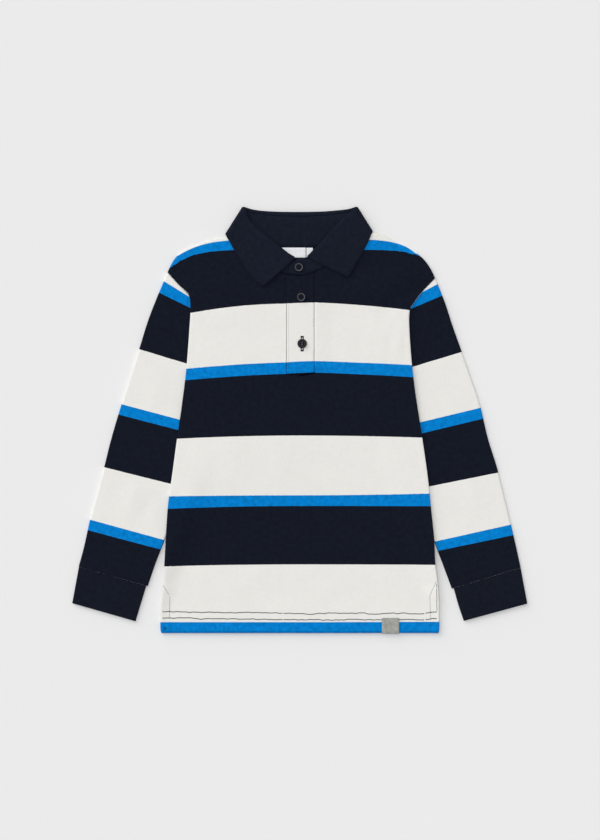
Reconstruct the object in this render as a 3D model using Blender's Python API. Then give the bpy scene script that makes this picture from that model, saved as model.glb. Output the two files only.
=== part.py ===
"""Child's long-sleeved polo shirt in broad stripes, laid flat with its front up.

Sizes are in millimetres and become metres as each mesh is made. X runs across
the chest, Y runs up from the hem to the collar, and Z is the height above the
surface that the shirt lies on. Left and right are as seen from above.
"""

import math
from collections import namedtuple

import bmesh
import bpy
from mathutils import Vector

MILLIMETRE = 0.001

# Cloth thicknesses and the space that pieces keep
JERSEY = 1.2
CUFF_CLOTH = 1.8
TWILL = 1.6
LABEL_CLOTH = 1.0
SEAM_GAP = 0.3

# How a body panel turns over at its side and shoulder edges
FOLD_REACH = 1.05
FOLD_RISE = 0.85
FOLD_PARTING = 0.85
FOLD_ANGLES = (0.0, 25.0, 57.0)
STEEPEST_SHOULDER = 2.6

# Body: hem line, shoulder tips, and where the side folds open to the armholes
HEM_Y = -255.4
TIP_Y = {"left": 176.8, "right": 169.9}
ARMHOLE_END_Y = {"left": 143.0, "right": 128.0}
NECK_POINT_X = {"left": -72.0, "right": 73.2}
ARMHOLE_OPENING = 8.0
ARMHOLE_SPREAD = 7.0
NECK_POINT_MARGIN = 1.5

SidePoint = namedtuple("SidePoint", "y x")
LinePoint = namedtuple("LinePoint", "x y")

# Side seam from the hem up, then the armhole seam out to the shoulder tip
BODY_SIDE = {
    "left": (
        SidePoint(-255.4, -166.2), SidePoint(-250.0, -167.5), SidePoint(-229.0, -167.4),
        SidePoint(-200.0, -164.0), SidePoint(-174.0, -162.6), SidePoint(-106.0, -158.5),
        SidePoint(-60.0, -152.4), SidePoint(-21.6, -147.2), SidePoint(12.0, -142.2),
        SidePoint(60.0, -136.3), SidePoint(108.0, -132.6), SidePoint(128.4, -131.4),
        SidePoint(140.4, -131.4), SidePoint(148.8, -132.7), SidePoint(163.2, -146.4),
        SidePoint(176.8, -158.9),
    ),
    "right": (
        SidePoint(-255.4, 166.0), SidePoint(-250.0, 167.1), SidePoint(-225.0, 167.0),
        SidePoint(-194.4, 165.1), SidePoint(-170.0, 162.0), SidePoint(-144.0, 160.8),
        SidePoint(-108.0, 157.2), SidePoint(-72.0, 153.6), SidePoint(-24.0, 146.8),
        SidePoint(24.0, 139.2), SidePoint(72.0, 133.6), SidePoint(108.0, 131.2),
        SidePoint(120.0, 130.8), SidePoint(132.0, 131.6), SidePoint(142.8, 138.0),
        SidePoint(153.4, 146.2), SidePoint(169.9, 162.0),
    ),
}

# Shoulder lines, from the tip or the neck point, left to right
SHOULDER = {
    "left": (
        LinePoint(-158.9, 176.8), LinePoint(-153.6, 187.2), LinePoint(-148.8, 194.4),
        LinePoint(-141.6, 201.6), LinePoint(-132.7, 206.0), LinePoint(-126.0, 208.8),
        LinePoint(-114.0, 213.2), LinePoint(-102.0, 216.8), LinePoint(-86.4, 220.0),
        LinePoint(-72.0, 221.2),
    ),
    "right": (
        LinePoint(73.2, 221.0), LinePoint(82.0, 223.0), LinePoint(87.0, 223.6),
        LinePoint(91.0, 224.2), LinePoint(95.0, 223.4), LinePoint(100.0, 221.6),
        LinePoint(113.8, 213.4), LinePoint(127.6, 207.1), LinePoint(141.4, 198.1),
        LinePoint(149.5, 190.6), LinePoint(156.0, 181.2), LinePoint(162.0, 169.9),
    ),
}

# Neckline seams of the two panels, left neck point to right neck point
NECKLINE = {
    "front": (
        LinePoint(-72.0, 221.2), LinePoint(-64.8, 211.2), LinePoint(-57.6, 202.4),
        LinePoint(-40.8, 188.4), LinePoint(-18.0, 174.8), LinePoint(0.0, 172.8),
        LinePoint(21.6, 178.8), LinePoint(38.4, 189.6), LinePoint(54.0, 201.6),
        LinePoint(64.8, 211.2), LinePoint(73.2, 221.0),
    ),
    "back": (
        LinePoint(-72.0, 221.2), LinePoint(-67.2, 217.4), LinePoint(-54.0, 210.4),
        LinePoint(-30.0, 204.8), LinePoint(0.0, 203.4), LinePoint(30.0, 205.2),
        LinePoint(54.0, 210.6), LinePoint(68.4, 217.4), LinePoint(73.2, 221.0),
    ),
}

# Sleeve sections, from the armhole seam down to the cuff seam. Each row is a
# line across the flattened sleeve, from its outer fold to its inner fold.
SleeveRow = namedtuple("SleeveRow", "name outer_x outer_y inner_x inner_y")
SLEEVE = {
    "left": (
        SleeveRow("armhole", -159.4, 176.5, -104.0, 110.0),
        SleeveRow("cap", -165.0, 162.6, -102.0, 97.0),
        SleeveRow("underarm", -172.8, 144.0, -99.0, 83.0),
        SleeveRow("upper_arm", -182.4, 118.8, -97.0, 66.0),
        SleeveRow("above_elbow", -193.2, 84.0, -98.0, 47.0),
        SleeveRow("elbow", -203.4, 52.2, -102.6, 22.5),
        SleeveRow("below_elbow", -213.6, 20.4, -113.8, -8.5),
        SleeveRow("forearm", -226.8, -24.0, -129.4, -52.2),
        SleeveRow("lower_forearm", -235.2, -57.6, -141.2, -84.8),
        SleeveRow("above_wrist", -243.6, -88.8, -152.2, -115.3),
        SleeveRow("wrist", -252.0, -120.0, -163.1, -145.8),
        SleeveRow("near_cuff", -258.6, -150.0, -173.6, -172.8),
        SleeveRow("cuff_seam", -265.4, -175.8, -182.6, -199.2),
    ),
    "right": (
        SleeveRow("armhole", 162.5, 169.5, 104.0, 99.0),
        SleeveRow("cap", 167.4, 157.2, 102.0, 87.0),
        SleeveRow("underarm", 174.0, 140.4, 99.4, 75.0),
        SleeveRow("upper_arm", 181.8, 116.4, 97.4, 60.0),
        SleeveRow("above_elbow", 193.2, 84.0, 98.0, 44.0),
        SleeveRow("elbow", 204.6, 51.6, 101.4, 26.4),
        SleeveRow("below_elbow", 215.6, 19.0, 114.4, -8.0),
        SleeveRow("forearm", 225.2, -21.6, 127.6, -46.9),
        SleeveRow("lower_forearm", 236.4, -57.6, 139.4, -81.8),
        SleeveRow("above_wrist", 245.4, -93.6, 151.1, -116.2),
        SleeveRow("wrist", 253.4, -127.2, 162.2, -149.0),
        SleeveRow("near_cuff", 259.8, -154.8, 173.2, -178.3),
        SleeveRow("cuff_seam", 264.6, -177.0, 182.0, -202.2),
    ),
}

# The armhole seam as the sleeve meets it, from the shoulder tip to where it
# goes under the body, and on to the sleeve's inner fold
ARMHOLE_SEAM = {
    "left": (
        LinePoint(-159.4, 176.5), LinePoint(-153.1, 169.7), LinePoint(-146.9, 162.9),
        LinePoint(-139.4, 155.7), LinePoint(-133.2, 148.5), LinePoint(-125.8, 139.3),
        LinePoint(-118.5, 130.0), LinePoint(-111.2, 120.0), LinePoint(-104.0, 110.0),
    ),
    "right": (
        LinePoint(162.5, 169.5), LinePoint(154.4, 161.3), LinePoint(146.7, 153.1),
        LinePoint(138.4, 142.5), LinePoint(132.1, 131.8), LinePoint(125.0, 123.4),
        LinePoint(118.0, 115.0), LinePoint(111.0, 107.0), LinePoint(104.0, 99.0),
    ),
}

# Cuff sections, from the cuff seam to the wrist opening
CUFF = {
    "left": (
        SleeveRow("seam", -265.2, -176.2, -184.4, -199.1),
        SleeveRow("middle", -269.2, -197.7, -191.0, -220.6),
        SleeveRow("opening", -273.2, -219.6, -197.2, -241.3),
    ),
    "right": (
        SleeveRow("seam", 264.6, -177.4, 184.4, -201.9),
        SleeveRow("middle", 268.6, -198.8, 190.2, -222.7),
        SleeveRow("opening", 272.6, -220.1, 196.4, -240.9),
    ),
}

# How much of the seam's bend the first sleeve rows keep
ARMHOLE_BEND = (1.0, 0.2)

SLEEVE_RADIUS = 1.3
CUFF_RADIUS = 1.1
TUBE_PUFF = 0.3
SIDE_TURNS = (45.0, 90.0, 135.0)

# The body lies over the hidden part of each sleeve
LIFT = 4.7
LIFT_MARGIN = 10.0
LIFT_RAMP = 30.0
LIFT_TOP_Y = {"left": 173.0, "right": 164.0}
LIFT_FULL_Y = {"left": 147.0, "right": 132.0}

# The collar's bulk raises the body round the neck
NECK_CENTRE = LinePoint(0.6, 217.0)
NECK_HALF_WIDTH = 73.0
NECK_HALF_DEPTH = 44.0
NECK_LIFT = 2.2
NECK_RAMP = 34.0

# Air left between the two panels, away from their edges
PUFF = 0.6
PUFF_REACH = 45.0
HEM_PUFF_SHARE = 0.4
HEM_PUFF_REACH = 60.0

# The front spans the dip between the two sleeves beneath it, below the neck
SPAN_LOW_Y = -190.0
SPAN_FULL_Y = 10.0
SPAN_TOP_Y = 200.0
SPAN_TOP_RAMP = 50.0
SPAN_NECK_REACH = 45.0

# Large soft folds of the front: middle, run direction in degrees, size, height
Fold = namedtuple("Fold", "name x y turn length width height")
FRONT_FOLDS = (
    Fold("chest_by_right_sleeve", 119.0, 96.0, 84.0, 58.0, 5.5, 0.55),
    Fold("chest_inside_that", 106.0, 88.0, 92.0, 46.0, 5.0, -0.3),
    Fold("chest_by_left_sleeve", -118.0, 98.0, 98.0, 50.0, 6.0, 0.4),
    Fold("below_placket", 14.0, -52.0, 96.0, 70.0, 10.0, -0.35),
    Fold("beside_that", -25.0, -52.0, 92.0, 130.0, 30.0, 0.9),
    Fold("waist_left", -82.0, -52.0, 88.0, 120.0, 19.0, 1.1),
    Fold("hem_left", -50.0, -176.0, 92.0, 60.0, 10.0, 0.5),
    Fold("hem_right", 62.0, -150.0, 86.0, 60.0, 12.0, 0.35),
)

# Placket: the strip on top, and the slit in the front that it covers
PLACKET_LEFT = -16.4
PLACKET_RIGHT = 17.4
SLIT_LEFT = -15.0
SLIT_MIDDLE = 0.5
SLIT_RIGHT = 16.0
SLIT_END_SHARE = 0.729
PLACKET_END_SHARE = 0.724

# Panel grid: shares of the way from a side fold to the slit, and up from the hem
ACROSS_SHARES = (0.0, 0.08, 0.19, 0.32, 0.46, 0.605, 0.74, 0.87, 1.0)
UP_SHARES = (
    0.0, 0.06, 0.125, 0.21, 0.3, 0.4, 0.5, 0.59, 0.665, SLIT_END_SHARE,
    0.79, 0.835, 0.872, 0.897, 0.918, 0.938, 0.968,
)

# Collar rows. The stand runs from its seam to its roll, and the leaf turns over
# the roll and runs back to its edge. Trim shortens the stand at its round end.
CollarRow = namedtuple(
    "CollarRow", "name seam_x seam_z roll_x roll_y roll_z radius edge_x edge_y trim"
)
COLLAR_FRONT_LEFT = (
    CollarRow("under_end", 10.8, 5.2, 10.8, 189.6, 5.6, 0.0, None, None, 0.0),
    CollarRow("under_middle", 0.0, 5.2, 1.2, 191.4, 5.8, 0.0, None, None, 0.0),
    CollarRow("left_front_edge", -8.4, 5.2, -6.4, 195.4, 6.1, 1.85, -44.0, 159.4, 0.0),
    CollarRow("left_1", -19.2, 5.3, -13.6, 199.8, 6.4, 1.6, -53.3, 167.3, 0.0),
    CollarRow("left_2", -38.4, 5.6, -26.4, 210.0, 6.6, 1.35, -63.4, 179.3, 0.0),
    CollarRow("left_3", -49.8, 5.6, -40.4, 221.4, 6.4, 1.25, -71.2, 192.0, 0.0),
    CollarRow("left_4", -60.0, 5.6, -54.0, 233.0, 6.0, 1.2, -78.2, 202.5, 0.0),
    CollarRow("left_5", -67.0, 5.6, -62.6, 243.6, 5.7, 1.2, -84.4, 213.6, 0.0),
)
COLLAR_BACK = (
    CollarRow("back_1", -64.0, 3.2, -57.5, 252.7, 3.4, 1.3, -68.4, 224.4, 0.0),
    CollarRow("back_2", -51.0, 3.0, -44.0, 250.8, 4.2, 1.7, -50.4, 215.0, 0.0),
    CollarRow("back_3", -28.0, 2.9, -23.0, 249.7, 6.0, 2.6, -24.0, 208.8, 0.0),
    CollarRow("back_4", 0.0, 2.9, 0.0, 249.5, 6.8, 3.0, 0.0, 207.2, 0.0),
    CollarRow("back_5", 28.0, 2.9, 23.0, 249.9, 6.0, 2.6, 24.0, 209.2, 0.0),
    CollarRow("back_6", 53.0, 3.0, 44.0, 251.4, 4.2, 1.7, 50.4, 216.6, 0.0),
    CollarRow("back_7", 66.5, 3.2, 57.5, 253.0, 3.4, 1.3, 69.0, 225.0, 0.0),
)
COLLAR_FRONT_RIGHT = (
    CollarRow("right_5", 66.6, 5.6, 60.2, 248.6, 5.7, 1.2, 82.6, 215.4, 0.0),
    CollarRow("right_4", 58.8, 5.6, 48.5, 238.6, 6.0, 1.25, 76.7, 204.0, 0.0),
    CollarRow("right_3", 48.0, 5.8, 37.0, 226.2, 6.4, 1.3, 71.4, 193.8, 0.0),
    CollarRow("right_2", 36.0, 6.1, 24.0, 212.0, 7.0, 1.3, 66.0, 184.7, 0.0),
    CollarRow("right_1", 24.0, 6.6, 13.8, 201.6, 7.5, 1.25, 61.8, 177.0, 0.0),
    CollarRow("right_front_edge", 15.0, 7.0, 8.8, 196.6, 7.8, 1.2, 58.0, 170.6, 0.0),
    CollarRow("flap_middle", 3.6, 7.3, 1.2, 194.5, 7.9, 0.0, None, None, 0.0),
    CollarRow("flap_near_end", -7.6, 7.3, -7.0, 190.4, 7.9, 0.0, None, None, 0.2),
    CollarRow("flap_round", -11.6, 7.3, -11.2, 188.6, 7.9, 0.0, None, None, 1.0),
    CollarRow("flap_end", -13.4, 7.3, -13.2, 187.0, 7.8, 0.0, None, None, 3.4),
)

# The collar folds over at each side: the stand's fold line, and the leaf's
SideFold = namedtuple(
    "SideFold", "seam_x seam_y base_x base_y bulge_x bulge_y inward_x inward_y"
)
COLLAR_FOLD = {
    "left": SideFold(-72.2, 222.8, -67.1, 253.4, -91.0, 221.4, 0.837, -0.545),
    "right": SideFold(73.4, 222.8, 66.8, 253.4, 88.6, 224.6, -0.837, -0.545),
}
COLLAR_FOLD_TURNS = (90.0, 45.0, 0.0, -45.0, -90.0)
CollarFrame = namedtuple(
    "CollarFrame", "seam base away lean radius edge trim on_front"
)
FOLD_LEVEL = 4.4
STAND_FOLD_RADIUS = 1.2
LEAF_SEPARATION = 1.2
EDGE_FOLD_LEVEL = 3.9
EDGE_FOLD_RADIUS = 3.1
CORNER_ROUNDING = 2.3
COLLAR_SEAM_GAP = 0.6
LEAF_GAP = 0.55
ROLL_LEAD = 2.0
LEAST_ROLL_SLANT = 0.22
FLAP_ROWS = 6
BACK_BAND = slice(12, 20)
ROLL_TURNS = (0.0, 45.0, 90.0, 135.0, 180.0)
LEAF_SHARES = (0.16, 0.42, 0.71, 1.0)

# Buttons: four-hole, turned, with a raised rim
BUTTON_RADIUS = 5.7
BUTTON_HEIGHT = 2.5
BUTTON_FOOT = 0.9
BUTTON_SHOULDER = 2.0
BUTTON_RIM = 1.0
BUTTON_FACE = 1.7
BUTTON_SIDES = 20
BUTTON_HOLE_RADIUS = 0.8
BUTTON_HOLE_PITCH = 1.45
BUTTON_PLACES = (
    ("button_1", LinePoint(-1.4, 183.0)),
    ("button_2", LinePoint(1.3, 147.2)),
    ("button_3", LinePoint(2.6, 91.4)),
)

# Labels and the tab on the hem: left, right, lower and upper edges
Patch = namedtuple("Patch", "left right low high")
NECK_LABEL = Patch(-25.0, 7.2, 192.6, 206.6)
SIZE_TAB = Patch(7.8, 15.4, 194.0, 206.4)
HEM_TAB = Patch(98.2, 118.8, -256.0, -237.2)

# Colours as linear red, green and blue
COLOURS = {
    "striped_jersey": (0.80, 0.79, 0.76),
    "navy_jersey": (0.0095, 0.0115, 0.019),
    "navy_twill": (0.011, 0.0135, 0.023),
    "button_plastic": (0.012, 0.014, 0.026),
    "white_satin": (0.80, 0.81, 0.84),
    "grey_tape": (0.37, 0.37, 0.34),
}


def smooth_step(value):
    """Ease from 0 to 1 as value goes from 0 to 1."""
    value = min(max(value, 0.0), 1.0)
    return value * value * (3.0 - 2.0 * value)


def blend(start, end, share):
    """Straight mix of two numbers or vectors."""
    return start + (end - start) * share


def follow(pairs, key):
    """Value at key on a smooth line through (key, value) pairs, with no overshoot."""
    keys = [pair[0] for pair in pairs]
    values = [pair[1] for pair in pairs]
    if key <= keys[0]:
        return values[0]
    if key >= keys[-1]:
        return values[-1]
    rises = []
    for index in range(len(keys) - 1):
        rises.append((values[index + 1] - values[index]) / (keys[index + 1] - keys[index]))
    slopes = [rises[0]]
    for before, after in zip(rises, rises[1:]):
        if before * after <= 0.0:
            slopes.append(0.0)
        else:
            slopes.append(2.0 * before * after / (before + after))
    slopes.append(rises[-1])
    index = max(i for i in range(len(keys) - 1) if keys[i] <= key)
    span = keys[index + 1] - keys[index]
    t = (key - keys[index]) / span
    return (
        values[index] * (2 * t ** 3 - 3 * t ** 2 + 1)
        + slopes[index] * span * (t ** 3 - 2 * t ** 2 + t)
        + values[index + 1] * (3 * t ** 2 - 2 * t ** 3)
        + slopes[index + 1] * span * (t ** 3 - t ** 2)
    )


def hidden_fold_x(side, y):
    """X of a sleeve's inner fold, hidden under the body, at a given Y."""
    rows = [(row.inner_y, row.inner_x) for row in SLEEVE[side][1:] + CUFF[side]]
    rows += [(point.y, point.x) for point in ARMHOLE_SEAM[side]]
    return follow(sorted(rows), y)


def sleeve_lift(side, x, y):
    """Height of the body's underside where it lies over a sleeve."""
    fold_x = hidden_fold_x(side, y)
    past = x - fold_x if side == "left" else fold_x - x
    fade = smooth_step((LIFT_TOP_Y[side] - y) / (LIFT_TOP_Y[side] - LIFT_FULL_Y[side]))
    return LIFT * fade * (1.0 - smooth_step((past - LIFT_MARGIN) / LIFT_RAMP))


def past_neck(x, y):
    """How far a place is beyond the collar's bulk."""
    offset = math.hypot(
        (x - NECK_CENTRE.x) / NECK_HALF_WIDTH, (y - NECK_CENTRE.y) / NECK_HALF_DEPTH
    )
    return max(offset - 1.0, 0.0) * 0.5 * (NECK_HALF_WIDTH + NECK_HALF_DEPTH)


def neck_lift(x, y):
    """Height that the collar's bulk gives the body round the neck."""
    return NECK_LIFT * (1.0 - smooth_step(past_neck(x, y) / NECK_RAMP))


def body_lift(x, y):
    """Height of the body's underside above the surface it lies on."""
    return max(sleeve_lift("left", x, y), sleeve_lift("right", x, y), neck_lift(x, y))


def fold_height(folds, x, y):
    """Sum of the soft folds at a place."""
    total = 0.0
    for fold in folds:
        turn = math.radians(fold.turn)
        along = (x - fold.x) * math.cos(turn) + (y - fold.y) * math.sin(turn)
        aside = (y - fold.y) * math.cos(turn) - (x - fold.x) * math.sin(turn)
        run = max(1.0 - (2.0 * along / fold.length) ** 2, 0.0)
        total += fold.height * run ** 2 * math.exp(-((aside / fold.width) ** 2))
    return total


def top_y(panel, x):
    """Upper edge of a panel: shoulder, neckline, shoulder."""
    if x <= NECK_POINT_X["left"]:
        return follow(SHOULDER["left"], x)
    if x >= NECK_POINT_X["right"]:
        return follow(SHOULDER["right"], x)
    return follow(NECKLINE[panel], x)


def side_edge_x(side, y):
    """X of a panel's middle surface at its side edge or armhole seam."""
    turned = 1.0 - smooth_step((y - ARMHOLE_END_Y[side]) / ARMHOLE_OPENING)
    inset = blend(SEAM_GAP / 2, JERSEY / 2, turned)
    sign = 1.0 if side == "left" else -1.0
    return follow(BODY_SIDE[side], y) + sign * inset


def fold_steps():
    """Distances in from a folded edge, and how far open the fold is there."""
    steps = []
    for angle in FOLD_ANGLES:
        turn = math.radians(angle)
        steps.append((FOLD_REACH * (1.0 - math.cos(turn)), math.sin(turn)))
    return steps


def across(left, right, left_spread, right_spread):
    """X of each column of a panel, and how open its side fold is."""
    steps = fold_steps()
    columns = [(left + reach * left_spread, opened) for reach, opened in steps]
    for share in ACROSS_SHARES:
        columns.append((blend(left + FOLD_REACH * left_spread, SLIT_LEFT, share), 1.0))
    columns.append((SLIT_MIDDLE, 1.0))
    for share in reversed(ACROSS_SHARES):
        columns.append((blend(right - FOLD_REACH * right_spread, SLIT_RIGHT, share), 1.0))
    columns += [(right - reach * right_spread, opened) for reach, opened in reversed(steps)]
    return columns


def shoulder_slope(panel, x):
    """How much further down a sloping shoulder its fold reaches, measured along Y."""
    rise = top_y(panel, x + 0.5) - top_y(panel, x - 0.5)
    return min(math.hypot(1.0, rise), STEEPEST_SHOULDER)


def panel_row(panel, up, drop, top_open):
    """Points of one row of a panel, as X, Y and how open its folds are there."""
    tips = {side: side_edge_x(side, TIP_Y[side]) for side in TIP_Y}
    edges = {}
    for side, tip_x in tips.items():
        reach = drop * shoulder_slope(panel, tip_x)
        edges[side] = blend(HEM_Y, TIP_Y[side] - reach, up)
    past = {
        side: smooth_step((edges[side] - ARMHOLE_END_Y[side]) / ARMHOLE_OPENING)
        for side in edges
    }
    columns = across(
        side_edge_x("left", edges["left"]), side_edge_x("right", edges["right"]),
        blend(1.0, ARMHOLE_SPREAD, past["left"]), blend(1.0, ARMHOLE_SPREAD, past["right"]),
    )
    tip_columns = across(tips["left"], tips["right"], ARMHOLE_SPREAD, ARMHOLE_SPREAD)
    neck_start = NECK_POINT_X["left"] + NECK_POINT_MARGIN
    neck_end = NECK_POINT_X["right"] - NECK_POINT_MARGIN
    row = []
    for (x, side_open), (tip_x, _) in zip(columns, tip_columns):
        on_neckline = neck_start < tip_x < neck_end
        reach = drop if on_neckline else drop * shoulder_slope(panel, tip_x)
        y = blend(HEM_Y, top_y(panel, tip_x) - reach, up)
        side = "left" if x < 0.0 else "right"
        opened = blend(side_open, 1.0, past[side])
        if not on_neckline:
            near_tip = 1.0 - smooth_step(abs(tip_x - tips[side]) / ARMHOLE_OPENING)
            opened = min(opened, blend(top_open, 1.0, near_tip))
        row.append((x, y, opened))
    return row


def panel_rows(panel):
    """All rows of a panel from the hem to the shoulders and neckline."""
    rows = [panel_row(panel, up, FOLD_REACH, 1.0) for up in UP_SHARES]
    rows.append(panel_row(panel, 1.0, FOLD_REACH, 1.0))
    for reach, opened in reversed(fold_steps()):
        rows.append(panel_row(panel, 1.0, reach, opened))
    return rows


def span_share(x, y):
    """How fully the front spans the dip between the sleeves beneath it."""
    share = smooth_step((y - SPAN_LOW_Y) / (SPAN_FULL_Y - SPAN_LOW_Y))
    share *= smooth_step((SPAN_TOP_Y - y) / SPAN_TOP_RAMP)
    return share * smooth_step(past_neck(x, y) / SPAN_NECK_REACH)


def puff(x, y, left, right):
    """Air under the front: none at the sides, least at the hem."""
    inside = smooth_step(min(x - left, right - x) / PUFF_REACH)
    up = blend(HEM_PUFF_SHARE, 1.0, smooth_step((y - HEM_Y) / HEM_PUFF_REACH))
    return inside * (PUFF * up + span_share(x, y) * (LIFT - body_lift(x, y)))


def back_rows():
    """Middle surface of the back panel."""
    rows = []
    for row in panel_rows("back"):
        points = []
        for x, y, opened in row:
            height = JERSEY / 2 + body_lift(x, y) + FOLD_RISE * (1.0 - opened)
            points.append(Vector((x, y, height)))
        rows.append(points)
    return rows


def front_rows():
    """Middle surface of the front panel, which lies on the back panel."""
    rows = []
    base = JERSEY / 2 + FOLD_RISE + FOLD_PARTING
    for row in panel_rows("front"):
        points = []
        left = row[0][0]
        right = row[-1][0]
        for x, y, opened in row:
            height = base + body_lift(x, y) + FOLD_RISE * opened
            height += puff(x, y, left, right) + fold_height(FRONT_FOLDS, x, y)
            points.append(Vector((x, y, height)))
        rows.append(points)
    return rows


def height_on(rows, x, y):
    """Height of a panel's middle surface at a place, read from its own faces."""
    place = Vector((x, y))
    for lower, upper in zip(rows, rows[1:]):
        for index in range(len(lower) - 1):
            corners = (lower[index], lower[index + 1], upper[index + 1], upper[index])
            for triangle in ((0, 1, 2), (0, 2, 3)):
                a, b, c = (corners[corner] for corner in triangle)
                area = (b - a).xy.cross((c - a).xy)
                if abs(area) < 1e-9:
                    continue
                share_b = (place - a.xy).cross((c - a).xy) / area
                share_c = (b - a).xy.cross(place - a.xy) / area
                if min(share_b, share_c, 1.0 - share_b - share_c) >= -1e-6:
                    return a.z + (b.z - a.z) * share_b + (c.z - a.z) * share_c
    return None


def material(name, roughness):
    """A plain surface in one of the shirt's colours."""
    made = bpy.data.materials.get(name)
    if made is None:
        made = bpy.data.materials.new(name)
        made.use_nodes = True
        shader = made.node_tree.nodes["Principled BSDF"]
        shader.inputs["Base Color"].default_value = (*COLOURS[name], 1.0)
        shader.inputs["Roughness"].default_value = roughness
        shader.inputs["Metallic"].default_value = 0.0
    return made


def finish(name, bm, colour, thickness=None, roughness=0.9):
    """Make a named object from a mesh in millimetres, thickened when it is cloth."""
    bmesh.ops.scale(bm, vec=(MILLIMETRE,) * 3, verts=bm.verts)
    mesh = bpy.data.meshes.new(name)
    bm.to_mesh(mesh)
    bm.free()
    mesh.shade_smooth()
    mesh.set_sharp_from_angle(angle=math.radians(40.0))
    mesh.materials.append(material(colour, roughness))
    piece = bpy.data.objects.new(name, mesh)
    bpy.context.scene.collection.objects.link(piece)
    if thickness:
        wall = piece.modifiers.new("wall", "SOLIDIFY")
        wall.thickness = thickness * MILLIMETRE
        wall.offset = 0.0
        wall.use_even_offset = False
        wall.use_rim = True
    return piece


def sheet(rows, leave_out=None):
    """Mesh through rows of points, without the faces that leave_out picks."""
    bm = bmesh.new()
    grid = [[bm.verts.new(point) for point in row] for row in rows]
    for up in range(len(rows) - 1):
        for over in range(len(rows[0]) - 1):
            if leave_out and leave_out(up, over):
                continue
            bm.faces.new((
                grid[up][over], grid[up][over + 1],
                grid[up + 1][over + 1], grid[up + 1][over],
            ))
    loose = [vert for vert in bm.verts if not vert.link_faces]
    bmesh.ops.delete(bm, geom=loose, context="VERTS")
    return bm


def walled_tube(outer_rings, inner_rings):
    """Closed mesh between an outer and an inner set of rings, open inside."""
    bm = bmesh.new()
    outer = [[bm.verts.new(point) for point in ring] for ring in outer_rings]
    inner = [[bm.verts.new(point) for point in ring] for ring in inner_rings]
    count = len(outer[0])
    skins = [outer, inner]
    rims = [[outer[0], inner[0]], [outer[-1], inner[-1]]]
    for loops in skins + rims:
        for lower, upper in zip(loops, loops[1:]):
            for index in range(count):
                after = (index + 1) % count
                bm.faces.new((lower[index], lower[after], upper[after], upper[index]))
    bmesh.ops.recalc_face_normals(bm, faces=bm.faces)
    return bm


def make_body():
    """Front and back panels. The front has the slit that the placket covers."""
    back = back_rows()
    front = front_rows()
    slit_row = UP_SHARES.index(SLIT_END_SHARE)
    slit_column = len(FOLD_ANGLES) + len(ACROSS_SHARES) - 1

    def in_slit(up, over):
        return up >= slit_row and slit_column <= over < slit_column + 2

    finish("back", sheet(back), "striped_jersey", JERSEY)
    finish("front", sheet(front, in_slit), "striped_jersey", JERSEY)
    return front, back


def flat_ring(line, radius, wall, puffing, offset):
    """Ring round a flattened tube, moved out from its middle surface by offset."""
    to_inner = (line[1] - line[0]).normalized()
    to_outer = (line[-2] - line[-1]).normalized()
    start = line[0] + to_inner * (wall / 2 + radius)
    end = line[-1] + to_outer * (wall / 2 + radius)
    middle = wall / 2 + radius
    reach = radius + offset
    places = [start] + line[1:-1] + [end]
    top = []
    for index, place in enumerate(places):
        rise = puffing * math.sin(math.pi * index / (len(places) - 1))
        top.append(Vector((place.x, place.y, middle + reach + rise)))
    bottom = [Vector((place.x, place.y, middle - reach)) for place in reversed(places)]
    ring = list(top)
    for turn in SIDE_TURNS:
        angle = math.radians(turn)
        spot = end - to_outer * reach * math.sin(angle)
        ring.append(Vector((spot.x, spot.y, middle + reach * math.cos(angle))))
    ring += bottom
    for turn in reversed(SIDE_TURNS):
        angle = math.radians(turn)
        spot = start - to_inner * reach * math.sin(angle)
        ring.append(Vector((spot.x, spot.y, middle + reach * math.cos(angle))))
    return ring


def cloth_tube(rows, bend, radius, wall, across_count):
    """Wall of a flattened sleeve or cuff. Bend curves the first rows to a seam."""
    outer_rings = []
    inner_rings = []
    for number, row in enumerate(rows):
        outer = Vector((row.outer_x, row.outer_y))
        inner = Vector((row.inner_x, row.inner_y))
        keep = ARMHOLE_BEND[number] if bend and number < len(ARMHOLE_BEND) else 0.0
        line = []
        for index in range(across_count + 1):
            share = index / across_count
            point = blend(outer, inner, share)
            if keep:
                seam_share = share * (len(bend) - 1)
                low = min(int(seam_share), len(bend) - 2)
                on_seam = blend(Vector(bend[low]), Vector(bend[low + 1]), seam_share - low)
                chord = blend(Vector(bend[0]), Vector(bend[-1]), share)
                point = point + (on_seam - chord) * keep
            line.append(point)
        outer_rings.append(flat_ring(line, radius, wall, TUBE_PUFF, wall / 2))
        inner_rings.append(flat_ring(line, radius, wall, TUBE_PUFF, -wall / 2))
    return walled_tube(outer_rings, inner_rings)


def make_sleeves():
    """Both sleeves and both cuffs, flattened tubes open at each end."""
    for side in ("left", "right"):
        sleeve = cloth_tube(SLEEVE[side], ARMHOLE_SEAM[side], SLEEVE_RADIUS, JERSEY, 8)
        finish("sleeve_" + side, sleeve, "striped_jersey")
        cuff = cloth_tube(CUFF[side], None, CUFF_RADIUS, CUFF_CLOTH, 6)
        finish("cuff_" + side, cuff, "navy_jersey")


def neck_seam(panel_top, x):
    """Point on a panel's neck edge at a given X, and the way off the panel there."""
    for start, end in zip(panel_top, panel_top[1:]):
        if start.x <= x <= end.x:
            along = (end - start).xy.normalized()
            point = blend(start, end, (x - start.x) / (end.x - start.x))
            return point.xy, Vector((-along.y, along.x))
    raise ValueError("no neck edge at this X")


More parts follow.
